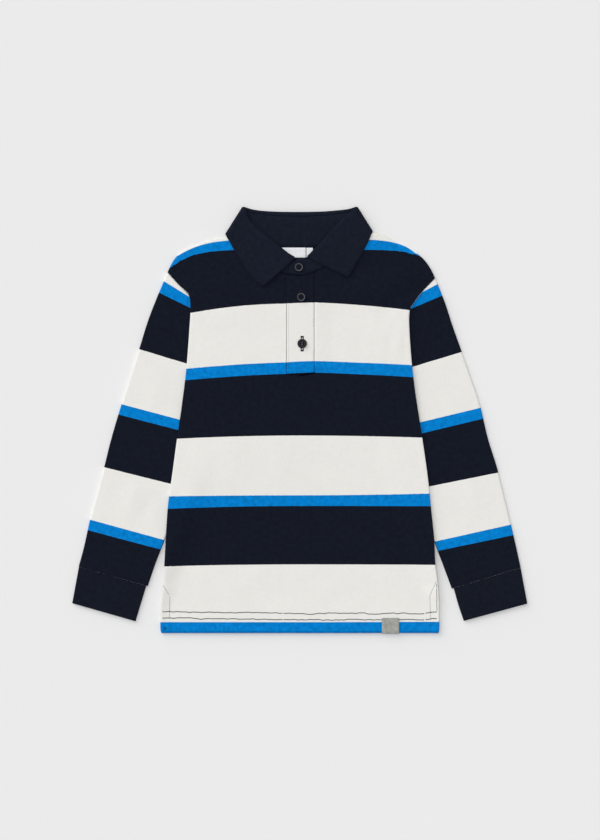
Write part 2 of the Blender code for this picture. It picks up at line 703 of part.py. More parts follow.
def row_frame(row, panel_top, front_facing, front):
    """Where one collar row starts, rolls over and ends."""
    seam_spot, off_panel = neck_seam(panel_top, row.seam_x)
    seam_spot += off_panel * COLLAR_SEAM_GAP
    seam = Vector((seam_spot.x, seam_spot.y, row.seam_z))
    roll = Vector((row.roll_x, row.roll_y, row.roll_z))
    away = Vector((roll.x - seam.x, roll.y - seam.y, 0.0)).normalized()
    has_leaf = row.edge_x is not None
    base = roll - away * (row.radius + TWILL / 2) if has_leaf else roll
    lean = Vector((0.0, 0.0, 1.0 if front_facing else -1.0))
    edge = None
    if has_leaf:
        edge = Vector((row.edge_x, row.edge_y, TWILL / 2))
        if front_facing:
            edge.z = leaf_floor(front, edge)
    return CollarFrame(seam, base, away, lean, row.radius, edge, row.trim, front_facing)


def fold_frame(side, turn):
    """Where the collar starts, rolls over and ends as it folds over at one side."""
    fold = COLLAR_FOLD[side]
    angle = math.radians(turn)
    seam = Vector((fold.seam_x, fold.seam_y, FOLD_LEVEL))
    base = Vector((fold.base_x, fold.base_y, FOLD_LEVEL))
    away = (base - seam).normalized()
    sign = 1.0 if side == "left" else -1.0
    inward = Vector((away.y, -away.x, 0.0)) * sign
    lean = Vector((0.0, 0.0, math.sin(angle))) - inward * math.cos(angle)
    shift = (inward + lean) * STAND_FOLD_RADIUS
    edge_inward = Vector((fold.inward_x, fold.inward_y, 0.0))
    edge = Vector((fold.bulge_x, fold.bulge_y, EDGE_FOLD_LEVEL))
    edge += edge_inward * (TWILL / 2 + EDGE_FOLD_RADIUS * (1.0 - math.cos(angle)))
    edge += (base - edge).normalized() * CORNER_ROUNDING * math.cos(angle)
    edge.z += EDGE_FOLD_RADIUS * math.sin(angle)
    return CollarFrame(
        seam + shift, base + shift, away, lean, LEAF_SEPARATION, edge, 0.0, False
    )


def leaf_floor(front, point):
    """Lowest height of the leaf's middle surface over the front, if it is there."""
    under = height_on(front, point.x, point.y)
    if under is None:
        return TWILL / 2
    return under + JERSEY / 2 + LEAF_GAP + TWILL / 2


def stand_section(frame, gap):
    """Section of the stand from the neck seam towards the roll."""
    low = frame.seam + frame.away * frame.trim
    back_off = ROLL_LEAD + gap if frame.edge else frame.trim
    high = frame.base - frame.away * back_off
    return [blend(low, high, share) for share in (0.0, 0.33, 0.67, 1.0)]


def leaf_section(frame, front):
    """Section of the leaf: over the roll and back to its edge."""
    points = [frame.base - frame.away * ROLL_LEAD]
    centre = frame.base + frame.lean * frame.radius
    for turn in ROLL_TURNS:
        angle = math.radians(turn)
        arm = frame.away * math.sin(angle) - frame.lean * math.cos(angle)
        points.append(centre + arm * frame.radius)
    start = points[-1]
    for share in LEAF_SHARES:
        point = blend(start, frame.edge, share)
        if frame.on_front:
            point.z = max(point.z, leaf_floor(front, point))
        points.append(point)
    return points


def collar_frames(front, back):
    """Frames all round the neck, from the left end to the right end."""
    frames = [row_frame(row, front[-1], True, front) for row in COLLAR_FRONT_LEFT]
    frames += [fold_frame("left", turn) for turn in COLLAR_FOLD_TURNS]
    frames += [row_frame(row, back[-1], False, front) for row in COLLAR_BACK]
    frames += [fold_frame("right", -turn) for turn in COLLAR_FOLD_TURNS]
    frames += [row_frame(row, front[-1], True, front) for row in COLLAR_FRONT_RIGHT]
    return frames


def roll_gap(frames, index):
    """Gap along the stand that leaves the seam gap square to a slanting roll."""
    before = frames[max(index - 1, 0)].base
    after = frames[min(index + 1, len(frames) - 1)].base
    along = (after - before).normalized()
    square = frames[index].away.cross(along).length
    return SEAM_GAP / max(square, LEAST_ROLL_SLANT)


def make_collar(front, back):
    """Neckband and turned-down leaf. Returns the neckband's sections."""
    frames = collar_frames(front, back)
    stand = [stand_section(frame, roll_gap(frames, i)) for i, frame in enumerate(frames)]
    leaf = [leaf_section(frame, front) for frame in frames if frame.edge]
    finish("collar_stand", sheet(stand), "navy_twill", TWILL)
    finish("collar_leaf", sheet(leaf), "navy_twill", TWILL)
    return stand


def strip_over(rows, first_row, last_row, xs, rise):
    """Grid over a stretch of a panel, on the panel's own rows, raised off it."""
    points = []
    for row in rows[first_row:last_row]:
        line = []
        for x in xs:
            pairs = [(point.x, point) for point in row]
            index = max(i for i in range(len(pairs) - 1) if pairs[i][0] <= x)
            start = pairs[index][1]
            end = pairs[index + 1][1]
            point = blend(start, end, (x - start.x) / (end.x - start.x))
            line.append(Vector((x, point.y, point.z + rise)))
        points.append(line)
    return points


def make_placket(front):
    """Under strip in the slit, and upper strip over it."""
    slit_row = UP_SHARES.index(SLIT_END_SHARE)
    under_xs = (SLIT_LEFT + SEAM_GAP, SLIT_MIDDLE, SLIT_RIGHT - SEAM_GAP)
    under = strip_over(front, slit_row, len(front), under_xs, 0.0)
    for point in under[0]:
        point.y += SEAM_GAP
    finish("placket_under", sheet(under), "striped_jersey", JERSEY)
    over_xs = (PLACKET_LEFT, SLIT_LEFT, SLIT_MIDDLE, SLIT_RIGHT, PLACKET_RIGHT)
    over = strip_over(front, slit_row, len(front), over_xs, JERSEY + SEAM_GAP)
    for point in over[0]:
        point.y -= (SLIT_END_SHARE - PLACKET_END_SHARE) * (TIP_Y["left"] - HEM_Y)
    finish("placket_top", sheet(over), "striped_jersey", JERSEY)
    return over


def button_mesh():
    """Turned disc with a raised rim, a dished face and a flat underside."""
    profile = (
        (0.0, 0.0), (BUTTON_RADIUS - BUTTON_FOOT, 0.0), (BUTTON_RADIUS, BUTTON_FOOT),
        (BUTTON_RADIUS, BUTTON_SHOULDER), (BUTTON_RADIUS - BUTTON_RIM, BUTTON_HEIGHT),
        (BUTTON_RADIUS - 2.0 * BUTTON_RIM, BUTTON_FACE), (0.0, BUTTON_FACE),
    )
    bm = bmesh.new()
    verts = [bm.verts.new((radius, 0.0, height)) for radius, height in profile]
    edges = [bm.edges.new(pair) for pair in zip(verts, verts[1:])]
    bmesh.ops.spin(
        bm, geom=verts + edges, cent=(0.0, 0.0, 0.0), axis=(0.0, 0.0, 1.0),
        angle=math.tau, steps=BUTTON_SIDES, use_merge=True,
    )
    bmesh.ops.remove_doubles(bm, verts=bm.verts, dist=1e-4)
    bmesh.ops.recalc_face_normals(bm, faces=bm.faces)
    return bm


def make_hole_cutter(name, place, height):
    """Four round cutters for a button's thread holes, in one hidden guide."""
    bm = bmesh.new()
    for turn in (45.0, 135.0, 225.0, 315.0):
        angle = math.radians(turn)
        made = bmesh.ops.create_cone(
            bm, cap_ends=True, segments=8, radius1=BUTTON_HOLE_RADIUS,
            radius2=BUTTON_HOLE_RADIUS, depth=BUTTON_HEIGHT * 3.0,
        )
        offset = Vector((math.cos(angle), math.sin(angle), 0.0)) * BUTTON_HOLE_PITCH
        bmesh.ops.translate(bm, verts=made["verts"], vec=offset)
    cutter = finish(name, bm, "button_plastic")
    cutter.location = (place.x * MILLIMETRE, place.y * MILLIMETRE, height * MILLIMETRE)
    cutter.hide_render = True
    cutter.display_type = "WIRE"
    return cutter


def make_button(name, place, height):
    """One button, resting just above the cloth, with its four holes cut through."""
    button = finish(name, button_mesh(), "button_plastic", roughness=0.4)
    button.location = (place.x * MILLIMETRE, place.y * MILLIMETRE, height * MILLIMETRE)
    cut = button.modifiers.new("holes", "BOOLEAN")
    cut.operation = "DIFFERENCE"
    cut.solver = "EXACT"
    cut.object = make_hole_cutter(name + "_holes", place, height + BUTTON_HEIGHT / 2)


def level_under(rows, place):
    """Highest that a cloth's middle surface reaches along a button."""
    ends = (place.y - BUTTON_RADIUS, place.y, place.y + BUTTON_RADIUS)
    return max(height_on(rows, place.x, y) for y in ends)


def make_buttons(stand, over):
    """Top button on the neckband's flap, the others on the placket."""
    flap = stand[-FLAP_ROWS:]
    for number, (name, place) in enumerate(BUTTON_PLACES):
        if number == 0:
            surface = height_on(flap, place.x, place.y) + TWILL / 2
        else:
            surface = level_under(over, place) + JERSEY / 2
        make_button(name, place, surface + SEAM_GAP)


def patch_rows(patch, columns, rows, height):
    """Grid over a patch, its height worked out at each point."""
    grid = []
    for up in range(rows + 1):
        y = blend(patch.low, patch.high, up / rows)
        line = []
        for over in range(columns + 1):
            x = blend(patch.left, patch.right, over / columns)
            line.append(Vector((x, y, height(x, y))))
        grid.append(line)
    return grid


def make_labels(front, back, stand):
    """Neck label, the small tab beside it, and the tab on the hem."""

    def over_neck(x, y):
        level = height_on(back, x, y)
        top = level + JERSEY / 2 if level is not None else 0.0
        band = height_on(stand[BACK_BAND], x, y + 1.0)
        if band is not None:
            top = max(top, band + TWILL / 2)
        return top + SEAM_GAP + LABEL_CLOTH / 2

    def over_front(x, y):
        level = height_on(front, x, max(y, HEM_Y))
        return level + JERSEY / 2 + SEAM_GAP + LABEL_CLOTH / 2

    finish("neck_label", sheet(patch_rows(NECK_LABEL, 4, 6, over_neck)), "white_satin", LABEL_CLOTH)
    finish("size_tab", sheet(patch_rows(SIZE_TAB, 2, 6, over_neck)), "white_satin", LABEL_CLOTH)
    finish("hem_tab", sheet(patch_rows(HEM_TAB, 3, 2, over_front)), "grey_tape", LABEL_CLOTH)


def main():
    """Clear the scene and make every piece of the shirt."""
    for old in list(bpy.data.objects):
        bpy.data.objects.remove(old, do_unlink=True)
    front, back = make_body()
    make_sleeves()
    stand = make_collar(front, back)
    over = make_placket(front)
    make_buttons(stand, over)
    make_labels(front, back, stand)


main()
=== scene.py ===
"""Looks of a child's long-sleeved striped polo shirt, laid flat with its front up.

Sizes are in millimetres, as in the part's source, and become metres as each mesh is
made. X runs across the chest, Y runs up from the hem to the collar, and Z is the height
above the surface that the shirt lies on. Left and right are as seen from above.
"""

import logging
import math
from bisect import bisect_right
from dataclasses import dataclass, field
from enum import Enum
from typing import Any, Callable, Iterable, NamedTuple, Optional, Sequence, Union

import bmesh
import bpy
from mathutils import Matrix, Vector, noise


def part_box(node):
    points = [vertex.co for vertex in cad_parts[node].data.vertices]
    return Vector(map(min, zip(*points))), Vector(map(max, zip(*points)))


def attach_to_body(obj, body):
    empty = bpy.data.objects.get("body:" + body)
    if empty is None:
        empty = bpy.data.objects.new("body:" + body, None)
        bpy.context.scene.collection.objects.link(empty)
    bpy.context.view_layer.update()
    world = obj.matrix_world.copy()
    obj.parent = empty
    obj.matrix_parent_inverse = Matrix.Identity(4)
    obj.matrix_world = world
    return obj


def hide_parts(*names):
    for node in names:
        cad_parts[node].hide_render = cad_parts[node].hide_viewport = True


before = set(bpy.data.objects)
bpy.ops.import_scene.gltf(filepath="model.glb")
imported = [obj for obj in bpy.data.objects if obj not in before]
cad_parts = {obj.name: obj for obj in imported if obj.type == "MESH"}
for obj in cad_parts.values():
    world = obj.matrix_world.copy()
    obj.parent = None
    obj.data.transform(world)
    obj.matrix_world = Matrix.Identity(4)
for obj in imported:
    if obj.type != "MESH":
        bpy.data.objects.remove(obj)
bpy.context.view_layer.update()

LOG = logging.getLogger("polo_shirt")
MILLIMETRE = 0.001
Socket = bpy.types.NodeSocket
Value = Union[float, bpy.types.NodeSocket]

# Cloth thicknesses and the space that pieces keep
JERSEY = 1.2
CUFF_CLOTH = 1.8
TWILL = 1.6
LABEL_CLOTH = 1.0
SEAM_GAP = 0.3
THREAD = 0.55

# How a body panel turns over at its side and shoulder edges
FOLD_REACH = 1.05
FOLD_RISE = 0.85
FOLD_PARTING = 0.85
FOLD_ANGLES = (0.0, 14.0, 28.0, 43.0, 58.0, 74.0)

# The body's outline
HEM_Y = -255.4
ARMHOLE_OPENING = 8.0
ARMHOLE_SPREAD = 7.0
NECK_POINT_X = (-72.0, 73.2)

# Placket strip, and the slit in the front that it covers
PLACKET_X = (-16.4, 17.4)
SLIT_X = (-15.0, 0.5, 17.5)
UNDER_STRIP_X = (-14.7, 15.0)
SLIT_END_SHARE = 0.729
PLACKET_END_SHARE = 0.724


class Side(Enum):
    """Viewer's left or right of the shirt."""

    LEFT = "left"
    RIGHT = "right"

    @property
    def inward(self) -> float:
        """Sign of the X direction that leads to the middle."""
        return 1.0 if self is Side.LEFT else -1.0


class Weave(Enum):
    """How a cloth is made, which sets its fine relief."""

    JERSEY = "jersey"
    TWILL = "twill"
    SATIN = "satin"
    TAPE = "tape"


class Panel(Enum):
    """The two panels of the body."""

    FRONT = "front"
    BACK = "back"


def smooth_step(value: float) -> float:
    """Ease from 0 to 1 as value goes from 0 to 1."""
    value = min(max(value, 0.0), 1.0)
    return value * value * (3.0 - 2.0 * value)


def blend(start: Any, end: Any, share: float) -> Any:
    """Straight mix of two numbers or vectors."""
    return start + (end - start) * share


class SmoothLine:
    """A smooth line through pairs of key and value, with no overshoot."""

    def __init__(self, pairs: Iterable[Sequence[float]]) -> None:
        """Keep the pairs in order of their keys, with a slope at each."""
        ordered = sorted((pair[0], pair[1]) for pair in pairs)
        self.keys = [key for key, _ in ordered]
        self.values = [value for _, value in ordered]
        rises = []
        for index in range(len(self.keys) - 1):
            span = max(self.keys[index + 1] - self.keys[index], 1e-6)
            rises.append((self.values[index + 1] - self.values[index]) / span)
        self.slopes = [rises[0]]
        for before, after in zip(rises, rises[1:]):
            flat = before * after <= 0.0
            self.slopes.append(0.0 if flat else 2.0 * before * after / (before + after))
        self.slopes.append(rises[-1])

    def at(self, key: float) -> float:
        """Value of the line at a key.

        Args:
            key: Place along the line, held within its ends.

        Returns:
            The value there.
        """
        if key <= self.keys[0]:
            return self.values[0]
        if key >= self.keys[-1]:
            return self.values[-1]
        index = bisect_right(self.keys, key) - 1
        span = max(self.keys[index + 1] - self.keys[index], 1e-6)
        t = (key - self.keys[index]) / span
        return (
            self.values[index] * (2 * t ** 3 - 3 * t ** 2 + 1)
            + self.slopes[index] * span * (t ** 3 - 2 * t ** 2 + t)
            + self.values[index + 1] * (3 * t ** 2 - 2 * t ** 3)
            + self.slopes[index + 1] * span * (t ** 3 - t ** 2)
        )


def resample(points: Sequence[Vector], steps: int) -> list[Vector]:
    """Add smooth points between the given ones.

    Args:
        points: Points along a line.
        steps: How many spaces each given space becomes.

    Returns:
        The finer line, which passes through every given point.
    """
    lengths = [0.0]
    for start, end in zip(points, points[1:]):
        lengths.append(lengths[-1] + max((end - start).length, 1e-4))
    axes = [SmoothLine(zip(lengths, (point[axis] for point in points))) for axis in range(3)]
    fine = []
    for low, high in zip(lengths, lengths[1:]):
        for step in range(steps):
            key = blend(low, high, step / steps)
            fine.append(Vector(axis.at(key) for axis in axes))
    fine.append(points[-1].copy())
    return fine


@dataclass(frozen=True)
class Fold:
    """A soft ridge, or a trough where its height is below zero."""

    name: str
    x: float
    y: float
    turn: float
    length: float
    width: float
    height: float

    def rise(self, x: float, y: float) -> float:
        """Height that the fold adds at a place.

        Args:
            x: Place across the chest.
            y: Place up the body.

        Returns:
            The rise, which is 0 beyond the fold's ends.
        """
        turn = math.radians(self.turn)
        along = (x - self.x) * math.cos(turn) + (y - self.y) * math.sin(turn)
        aside = (y - self.y) * math.cos(turn) - (x - self.x) * math.sin(turn)
        run = 1.0 - (2.0 * along / self.length) ** 2
        if run <= 0.0:
            return 0.0
        return self.height * run ** 2 * math.exp(-((aside / self.width) ** 2))


# The large folds that the solids have too, then the finer creases of each piece
FRONT_FOLDS = (
    Fold("chest_by_right_sleeve", 119.0, 96.0, 84.0, 58.0, 5.5, 0.55),
    Fold("chest_inside_that", 106.0, 88.0, 92.0, 46.0, 5.0, -0.3),
    Fold("chest_by_left_sleeve", -118.0, 98.0, 98.0, 50.0, 6.0, 0.4),
    Fold("below_placket", 14.0, -52.0, 96.0, 70.0, 10.0, -0.35),
    Fold("beside_that", -25.0, -52.0, 92.0, 130.0, 30.0, 0.9),
    Fold("waist_left", -82.0, -52.0, 88.0, 120.0, 19.0, 1.1),
    Fold("hem_left", -50.0, -176.0, 92.0, 60.0, 10.0, 0.5),
    Fold("hem_right", 62.0, -150.0, 86.0, 60.0, 12.0, 0.35),
)
FRONT_CREASES = (
    Fold("right_armhole_upper", 124.0, 118.0, 62.0, 42.0, 3.4, 0.45),
    Fold("right_armhole_lower", 126.0, 74.0, 96.0, 52.0, 3.2, -0.35),
    Fold("right_chest", 88.0, 112.0, 70.0, 46.0, 5.0, 0.25),
    Fold("left_armhole_upper", -124.0, 126.0, 118.0, 38.0, 3.6, 0.4),
    Fold("left_armhole_lower", -128.0, 78.0, 86.0, 50.0, 3.4, -0.3),
    Fold("left_chest", -92.0, 118.0, 112.0, 40.0, 5.0, 0.25),
    Fold("under_left_point", -52.0, 142.0, 128.0, 34.0, 4.5, 0.25),
    Fold("under_right_point", 66.0, 148.0, 58.0, 36.0, 4.0, 0.25),
    Fold("by_placket_left", -27.0, 100.0, 91.0, 60.0, 4.5, 0.2),
    Fold("by_placket_right", 27.0, 84.0, 88.0, 50.0, 4.0, 0.22),
    Fold("placket_end_left", -20.0, 44.0, 68.0, 26.0, 3.6, 0.3),
    Fold("placket_end_right", 20.0, 40.0, 112.0, 28.0, 3.6, 0.28),
    Fold("waist_right", 104.0, -34.0, 97.0, 64.0, 7.0, 0.35),
    Fold("waist_far_left", -124.0, -30.0, 80.0, 58.0, 5.0, 0.35),
    Fold("belly_trough", 44.0, -98.0, 84.0, 76.0, 8.0, -0.3),
    Fold("belly_ridge", 30.0, -118.0, 99.0, 58.0, 6.0, 0.25),
    Fold("left_side_low", -138.0, -112.0, 84.0, 66.0, 5.0, 0.4),
    Fold("right_side_low", 140.0, -104.0, 98.0, 60.0, 5.0, 0.4),
    Fold("hem_mark", -60.0, -176.4, 90.0, 17.0, 1.4, -0.35),
    Fold("hem_far_right", 118.0, -192.0, 80.0, 42.0, 5.0, 0.3),
    Fold("hem_middle", 8.0, -204.0, 97.0, 36.0, 5.0, 0.28),
    Fold("hem_far_left", -118.0, -188.0, 99.0, 44.0, 6.0, 0.3),
)
BACK_CREASES = (
    Fold("yoke_middle", 6.0, 150.0, 92.0, 60.0, 7.0, 0.3),
    Fold("yoke_right", 66.0, 128.0, 76.0, 70.0, 6.0, 0.3),
    Fold("yoke_left", -72.0, 122.0, 104.0, 66.0, 6.0, 0.32),
    Fold("waist_left", -48.0, -20.0, 86.0, 84.0, 8.0, 0.3),
    Fold("waist_right", 58.0, -34.0, 95.0, 76.0, 7.0, 0.28),
    Fold("hem_left", -84.0, -170.0, 98.0, 48.0, 5.0, 0.25),
    Fold("hem_right", 92.0, -176.0, 82.0, 50.0, 6.0, 0.25),
)
SLEEVE_CREASES = {
    Side.LEFT: (
        Fold("cap", -158.0, 118.0, 66.0, 60.0, 5.0, 0.4),
        Fold("cap_inside", -148.0, 104.0, 78.0, 44.0, 4.0, -0.3),
        Fold("elbow_long", -176.0, 22.0, 72.0, 76.0, 7.0, 0.45),
        Fold("elbow_cross", -166.0, -8.0, 30.0, 42.0, 4.0, 0.3),
        Fold("forearm_shade", -184.0, -106.0, 66.0, 42.0, 6.0, -0.45),
        Fold("forearm_ridge", -201.0, -92.0, 74.0, 66.0, 9.0, 0.8),
        Fold("wrist_outer", -240.0, -144.0, 78.0, 34.0, 4.0, 0.35),
        Fold("wrist_inner", -206.0, -160.0, 74.0, 32.0, 3.6, 0.3),
    ),
    Side.RIGHT: (
        Fold("cap", 160.0, 112.0, 114.0, 58.0, 5.0, 0.4),
        Fold("cap_inside", 149.0, 92.0, 100.0, 48.0, 4.0, -0.3),
        Fold("elbow_long", 180.0, 16.0, 108.0, 70.0, 7.0, 0.45),
        Fold("elbow_cross", 168.0, -16.0, 148.0, 38.0, 4.0, 0.25),
        Fold("forearm_ridge", 206.0, -82.0, 106.0, 66.0, 6.0, 0.42),
        Fold("forearm_shade", 190.0, -112.0, 112.0, 40.0, 5.0, -0.35),
        Fold("wrist_outer", 240.0, -146.0, 102.0, 34.0, 4.0, 0.35),
        Fold("wrist_inner", 208.0, -164.0, 106.0, 30.0, 3.6, 0.3),
    ),
}
CUFF_CREASES = {
    Side.LEFT: (
        Fold("outer", -252.0, -196.0, 70.0, 26.0, 4.0, 0.25),
        Fold("inner", -210.0, -214.0, 78.0, 24.0, 4.0, 0.25),
    ),
    Side.RIGHT: (
        Fold("outer", 250.0, -198.0, 108.0, 26.0, 4.0, 0.25),
        Fold("inner", 208.0, -216.0, 100.0, 24.0, 4.0, 0.25),
    ),
}
LEAF_CREASES = (
    Fold("left_dent", -43.0, 203.0, 12.0, 20.0, 3.2, -0.45),
    Fold("left_point", -44.0, 172.0, 50.0, 22.0, 4.0, 0.25),
    Fold("right_lap", 44.0, 196.0, 132.0, 34.0, 5.0, 0.35),
    Fold("right_point", 58.0, 180.0, 120.0, 22.0, 4.0, 0.2),
)


def folds_rise(folds: Iterable[Fold], x: float, y: float) -> float:
    """Sum of some folds at a place."""
    return sum(fold.rise(x, y) for fold in folds)


def drift(x: float, y: float, size: float, seed: float) -> float:
    """Slow uneven rise and fall of laid cloth, from about -1 to 1."""
    return noise.noise(Vector((x / size, y / size, seed)))


@dataclass
class ShirtForm:
    """Outline and heights of the laid body: those of its solids, and the finer creases."""

    tip_y: dict = field(default_factory=lambda: {Side.LEFT: 176.8, Side.RIGHT: 169.9})
    armhole_end_y: dict = field(default_factory=lambda: {Side.LEFT: 143.0, Side.RIGHT: 128.0})
    lift: float = 4.7
    lift_margin: float = 10.0
    lift_ramp: float = 30.0
    lift_top_y: dict = field(default_factory=lambda: {Side.LEFT: 173.0, Side.RIGHT: 164.0})
    lift_full_y: dict = field(default_factory=lambda: {Side.LEFT: 147.0, Side.RIGHT: 132.0})
    neck_centre: tuple = (0.6, 217.0)
    neck_half: tuple = (73.0, 44.0)
    neck_lift: float = 2.2
    neck_ramp: float = 34.0
    puff: float = 0.6
    puff_reach: float = 45.0
    puff_at_hem: float = 0.4
    puff_height: float = 60.0
    span_low_y: float = -190.0
    span_full_y: float = 10.0
    span_top_y: float = 200.0
    span_top_ramp: float = 50.0
    span_neck_reach: float = 45.0
    hem_edge: float = 20.6
    hem_ramp: float = 4.0
    hem_rise: float = 0.3
    pucker_above: float = 2.0
    pucker_reach: float = 7.0
    pucker_rise: float = 0.13
    seam_rise: float = 1.45
    seam_reach: float = 26.0
    seam_top_y: float = 182.0
    seam_top_ramp: float = 10.0
    seam_end_ramp: float = 8.0
    crease_share: float = 0.6
    deepest_crease: float = -0.55
    wave: tuple = (0.3, 52.0)
    ripple: tuple = (0.09, 19.0)

    def __post_init__(self) -> None:
        """Draw the outline's lines once."""
        self.side = {side: SmoothLine(BODY_SIDE[side]) for side in Side}
        self.shoulder = {side: SmoothLine(SHOULDER[side]) for side in Side}
        self.neckline = {panel: SmoothLine(NECKLINE[panel]) for panel in Panel}
        self.hidden_fold = {}
        for side in Side:
            rows = [(row.inner_y, row.inner_x) for row in SLEEVE[side][1:] + CUFF[side]]
            rows += [(y, x) for x, y in ARMHOLE_SEAM[side]]
            self.hidden_fold[side] = SmoothLine(rows)

    def sleeve_lift(self, side: Side, x: float, y: float) -> float:
        """Height of the body's underside where it lies over a sleeve.

        Args:
            side: The sleeve's side.
            x: Place across the chest.
            y: Place up the body.

        Returns:
            The height, which fades out past the sleeve's inner fold.
        """
        past = (x - self.hidden_fold[side].at(y)) * side.inward
        top, full = self.lift_top_y[side], self.lift_full_y[side]
        fade = smooth_step((top - y) / (top - full))
        return self.lift * fade * (1.0 - smooth_step((past - self.lift_margin) / self.lift_ramp))

    def past_neck(self, x: float, y: float) -> float:
        """How far a place is beyond the collar's bulk."""
        half_width, half_depth = self.neck_half
        offset = math.hypot(
            (x - self.neck_centre[0]) / half_width, (y - self.neck_centre[1]) / half_depth
        )
        return max(offset - 1.0, 0.0) * 0.5 * (half_width + half_depth)

    def collar_lift(self, x: float, y: float) -> float:
        """Height that the collar's bulk gives the body round the neck."""
        return self.neck_lift * (1.0 - smooth_step(self.past_neck(x, y) / self.neck_ramp))

    def body_lift(self, x: float, y: float) -> float:
        """Height of the body's underside above the surface it lies on."""
        return max(
            self.sleeve_lift(Side.LEFT, x, y),
            self.sleeve_lift(Side.RIGHT, x, y),
            self.collar_lift(x, y),
        )

    def top_y(self, panel: Panel, x: float) -> float:
        """Upper edge of a panel: shoulder, neckline, shoulder."""
        if x <= NECK_POINT_X[0]:
            return self.shoulder[Side.LEFT].at(x)
        if x >= NECK_POINT_X[1]:
            return self.shoulder[Side.RIGHT].at(x)
        return self.neckline[panel].at(x)

    def side_edge_x(self, side: Side, y: float) -> float:
        """X of a panel's middle surface at its side edge or armhole seam."""
        turned = 1.0 - smooth_step((y - self.armhole_end_y[side]) / ARMHOLE_OPENING)
        inset = blend(SEAM_GAP / 2, JERSEY / 2, turned)
        return self.side[side].at(y) + side.inward * inset

    def span_share(self, x: float, y: float) -> float:
        """How fully the front spans the dip between the sleeves beneath it."""
        share = smooth_step((y - self.span_low_y) / (self.span_full_y - self.span_low_y))
        share *= smooth_step((self.span_top_y - y) / self.span_top_ramp)
        return share * smooth_step(self.past_neck(x, y) / self.span_neck_reach)

    def air(self, x: float, y: float) -> float:
        """Air under the front: none at the sides, least at the hem."""
        left = self.side_edge_x(Side.LEFT, y)
        right = self.side_edge_x(Side.RIGHT, y)
        inside = smooth_step(min(x - left, right - x) / self.puff_reach)
        up = blend(self.puff_at_hem, 1.0, smooth_step((y - HEM_Y) / self.puff_height))
        return inside * (
            self.puff * up + self.span_share(x, y) * (self.lift - self.body_lift(x, y))
        )

    def hem_step(self, x: float, y: float) -> float:
        """The turned-up hem is thicker, and puckers a little along its stitches."""
        past = y - HEM_Y - self.hem_edge
        step = self.hem_rise * (1.0 - smooth_step(past / self.hem_ramp))
        pucker = math.exp(-(((past - self.pucker_above) / self.pucker_reach) ** 2))
        return step + self.pucker_rise * pucker * drift(x, 0.0, 5.0, 3.0)

    def slit_end_y(self) -> float:
        """Y of the lower end of the front's slit."""
        return blend(HEM_Y, self.neckline[Panel.FRONT].at(SLIT_X[1]), SLIT_END_SHARE)

    def placket_seam(self, x: float, y: float) -> float:
        """Rise of the front to the placket's right edge, where the two are seamed.

        Args:
            x: Place across the chest.
            y: Place up the body.

        Returns:
            The rise, which is 0 left of that edge.
        """
        if x < 0.5 * (PLACKET_X[1] + SLIT_X[2]):
            return 0.0
        share = smooth_step((y - self.slit_end_y()) / self.seam_end_ramp)
        share *= smooth_step((self.seam_top_y - y) / self.seam_top_ramp)
        return self.seam_rise * share * (1.0 - smooth_step((x - SLIT_X[2]) / self.seam_reach))

    def front_level(self, x: float, y: float, opened: float = 1.0) -> float:
        """Height of the front's middle surface.

        Args:
            x: Place across the chest.
            y: Place up the body.
            opened: How far the side fold has opened there, from 0 to 1.

        Returns:
            The height above the surface that the shirt lies on.
        """
        level = JERSEY / 2 + FOLD_RISE + FOLD_PARTING + self.body_lift(x, y)
        level += FOLD_RISE * opened + self.air(x, y) + self.placket_seam(x, y)
        level += folds_rise(FRONT_FOLDS, x, y)
        soft = self.crease_share * folds_rise(FRONT_CREASES, x, y) + self.hem_step(x, y)
        for seed, (rise, size) in enumerate((self.wave, self.ripple), 1):
            soft += rise * drift(x, y, size, float(seed))
        return level + max(soft, self.deepest_crease) * opened

    def back_level(self, x: float, y: float, opened: float = 1.0) -> float:
        """Height of the back's middle surface."""
        level = JERSEY / 2 + self.body_lift(x, y) + FOLD_RISE * (1.0 - opened)
        return level + max(folds_rise(BACK_CREASES, x, y), 0.0) * self.crease_share * opened


BODY_SIDE = {
    Side.LEFT: (
        (-255.4, -166.2), (-250.0, -167.5), (-229.0, -167.4), (-200.0, -164.0),
        (-174.0, -162.6), (-106.0, -158.5), (-60.0, -152.4), (-21.6, -147.2), (12.0, -142.2),
        (60.0, -136.3), (108.0, -132.6), (128.4, -131.4), (140.4, -131.4), (148.8, -132.7),
        (163.2, -146.4), (176.8, -158.9),
    ),
    Side.RIGHT: (
        (-255.4, 166.0), (-250.0, 167.1), (-225.0, 167.0), (-194.4, 165.1), (-170.0, 162.0),
        (-144.0, 160.8), (-108.0, 157.2), (-72.0, 153.6), (-24.0, 146.8), (24.0, 139.2),
        (72.0, 133.6), (108.0, 131.2), (120.0, 130.8), (132.0, 131.6), (142.8, 138.0),
        (153.4, 146.2), (169.9, 162.0),
    ),
}
SHOULDER = {
    Side.LEFT: (
        (-158.9, 176.8), (-153.6, 187.2), (-148.8, 194.4), (-141.6, 201.6), (-132.7, 206.0),
        (-126.0, 208.8), (-114.0, 213.2), (-102.0, 216.8), (-86.4, 220.0), (-72.0, 221.2),
    ),
    Side.RIGHT: (
        (73.2, 221.0), (82.0, 223.0), (87.0, 223.6), (91.0, 224.2), (95.0, 223.4),
        (100.0, 221.6), (113.8, 213.4), (127.6, 207.1), (141.4, 198.1), (149.5, 190.6),
        (156.0, 181.2), (162.0, 169.9),
    ),
}
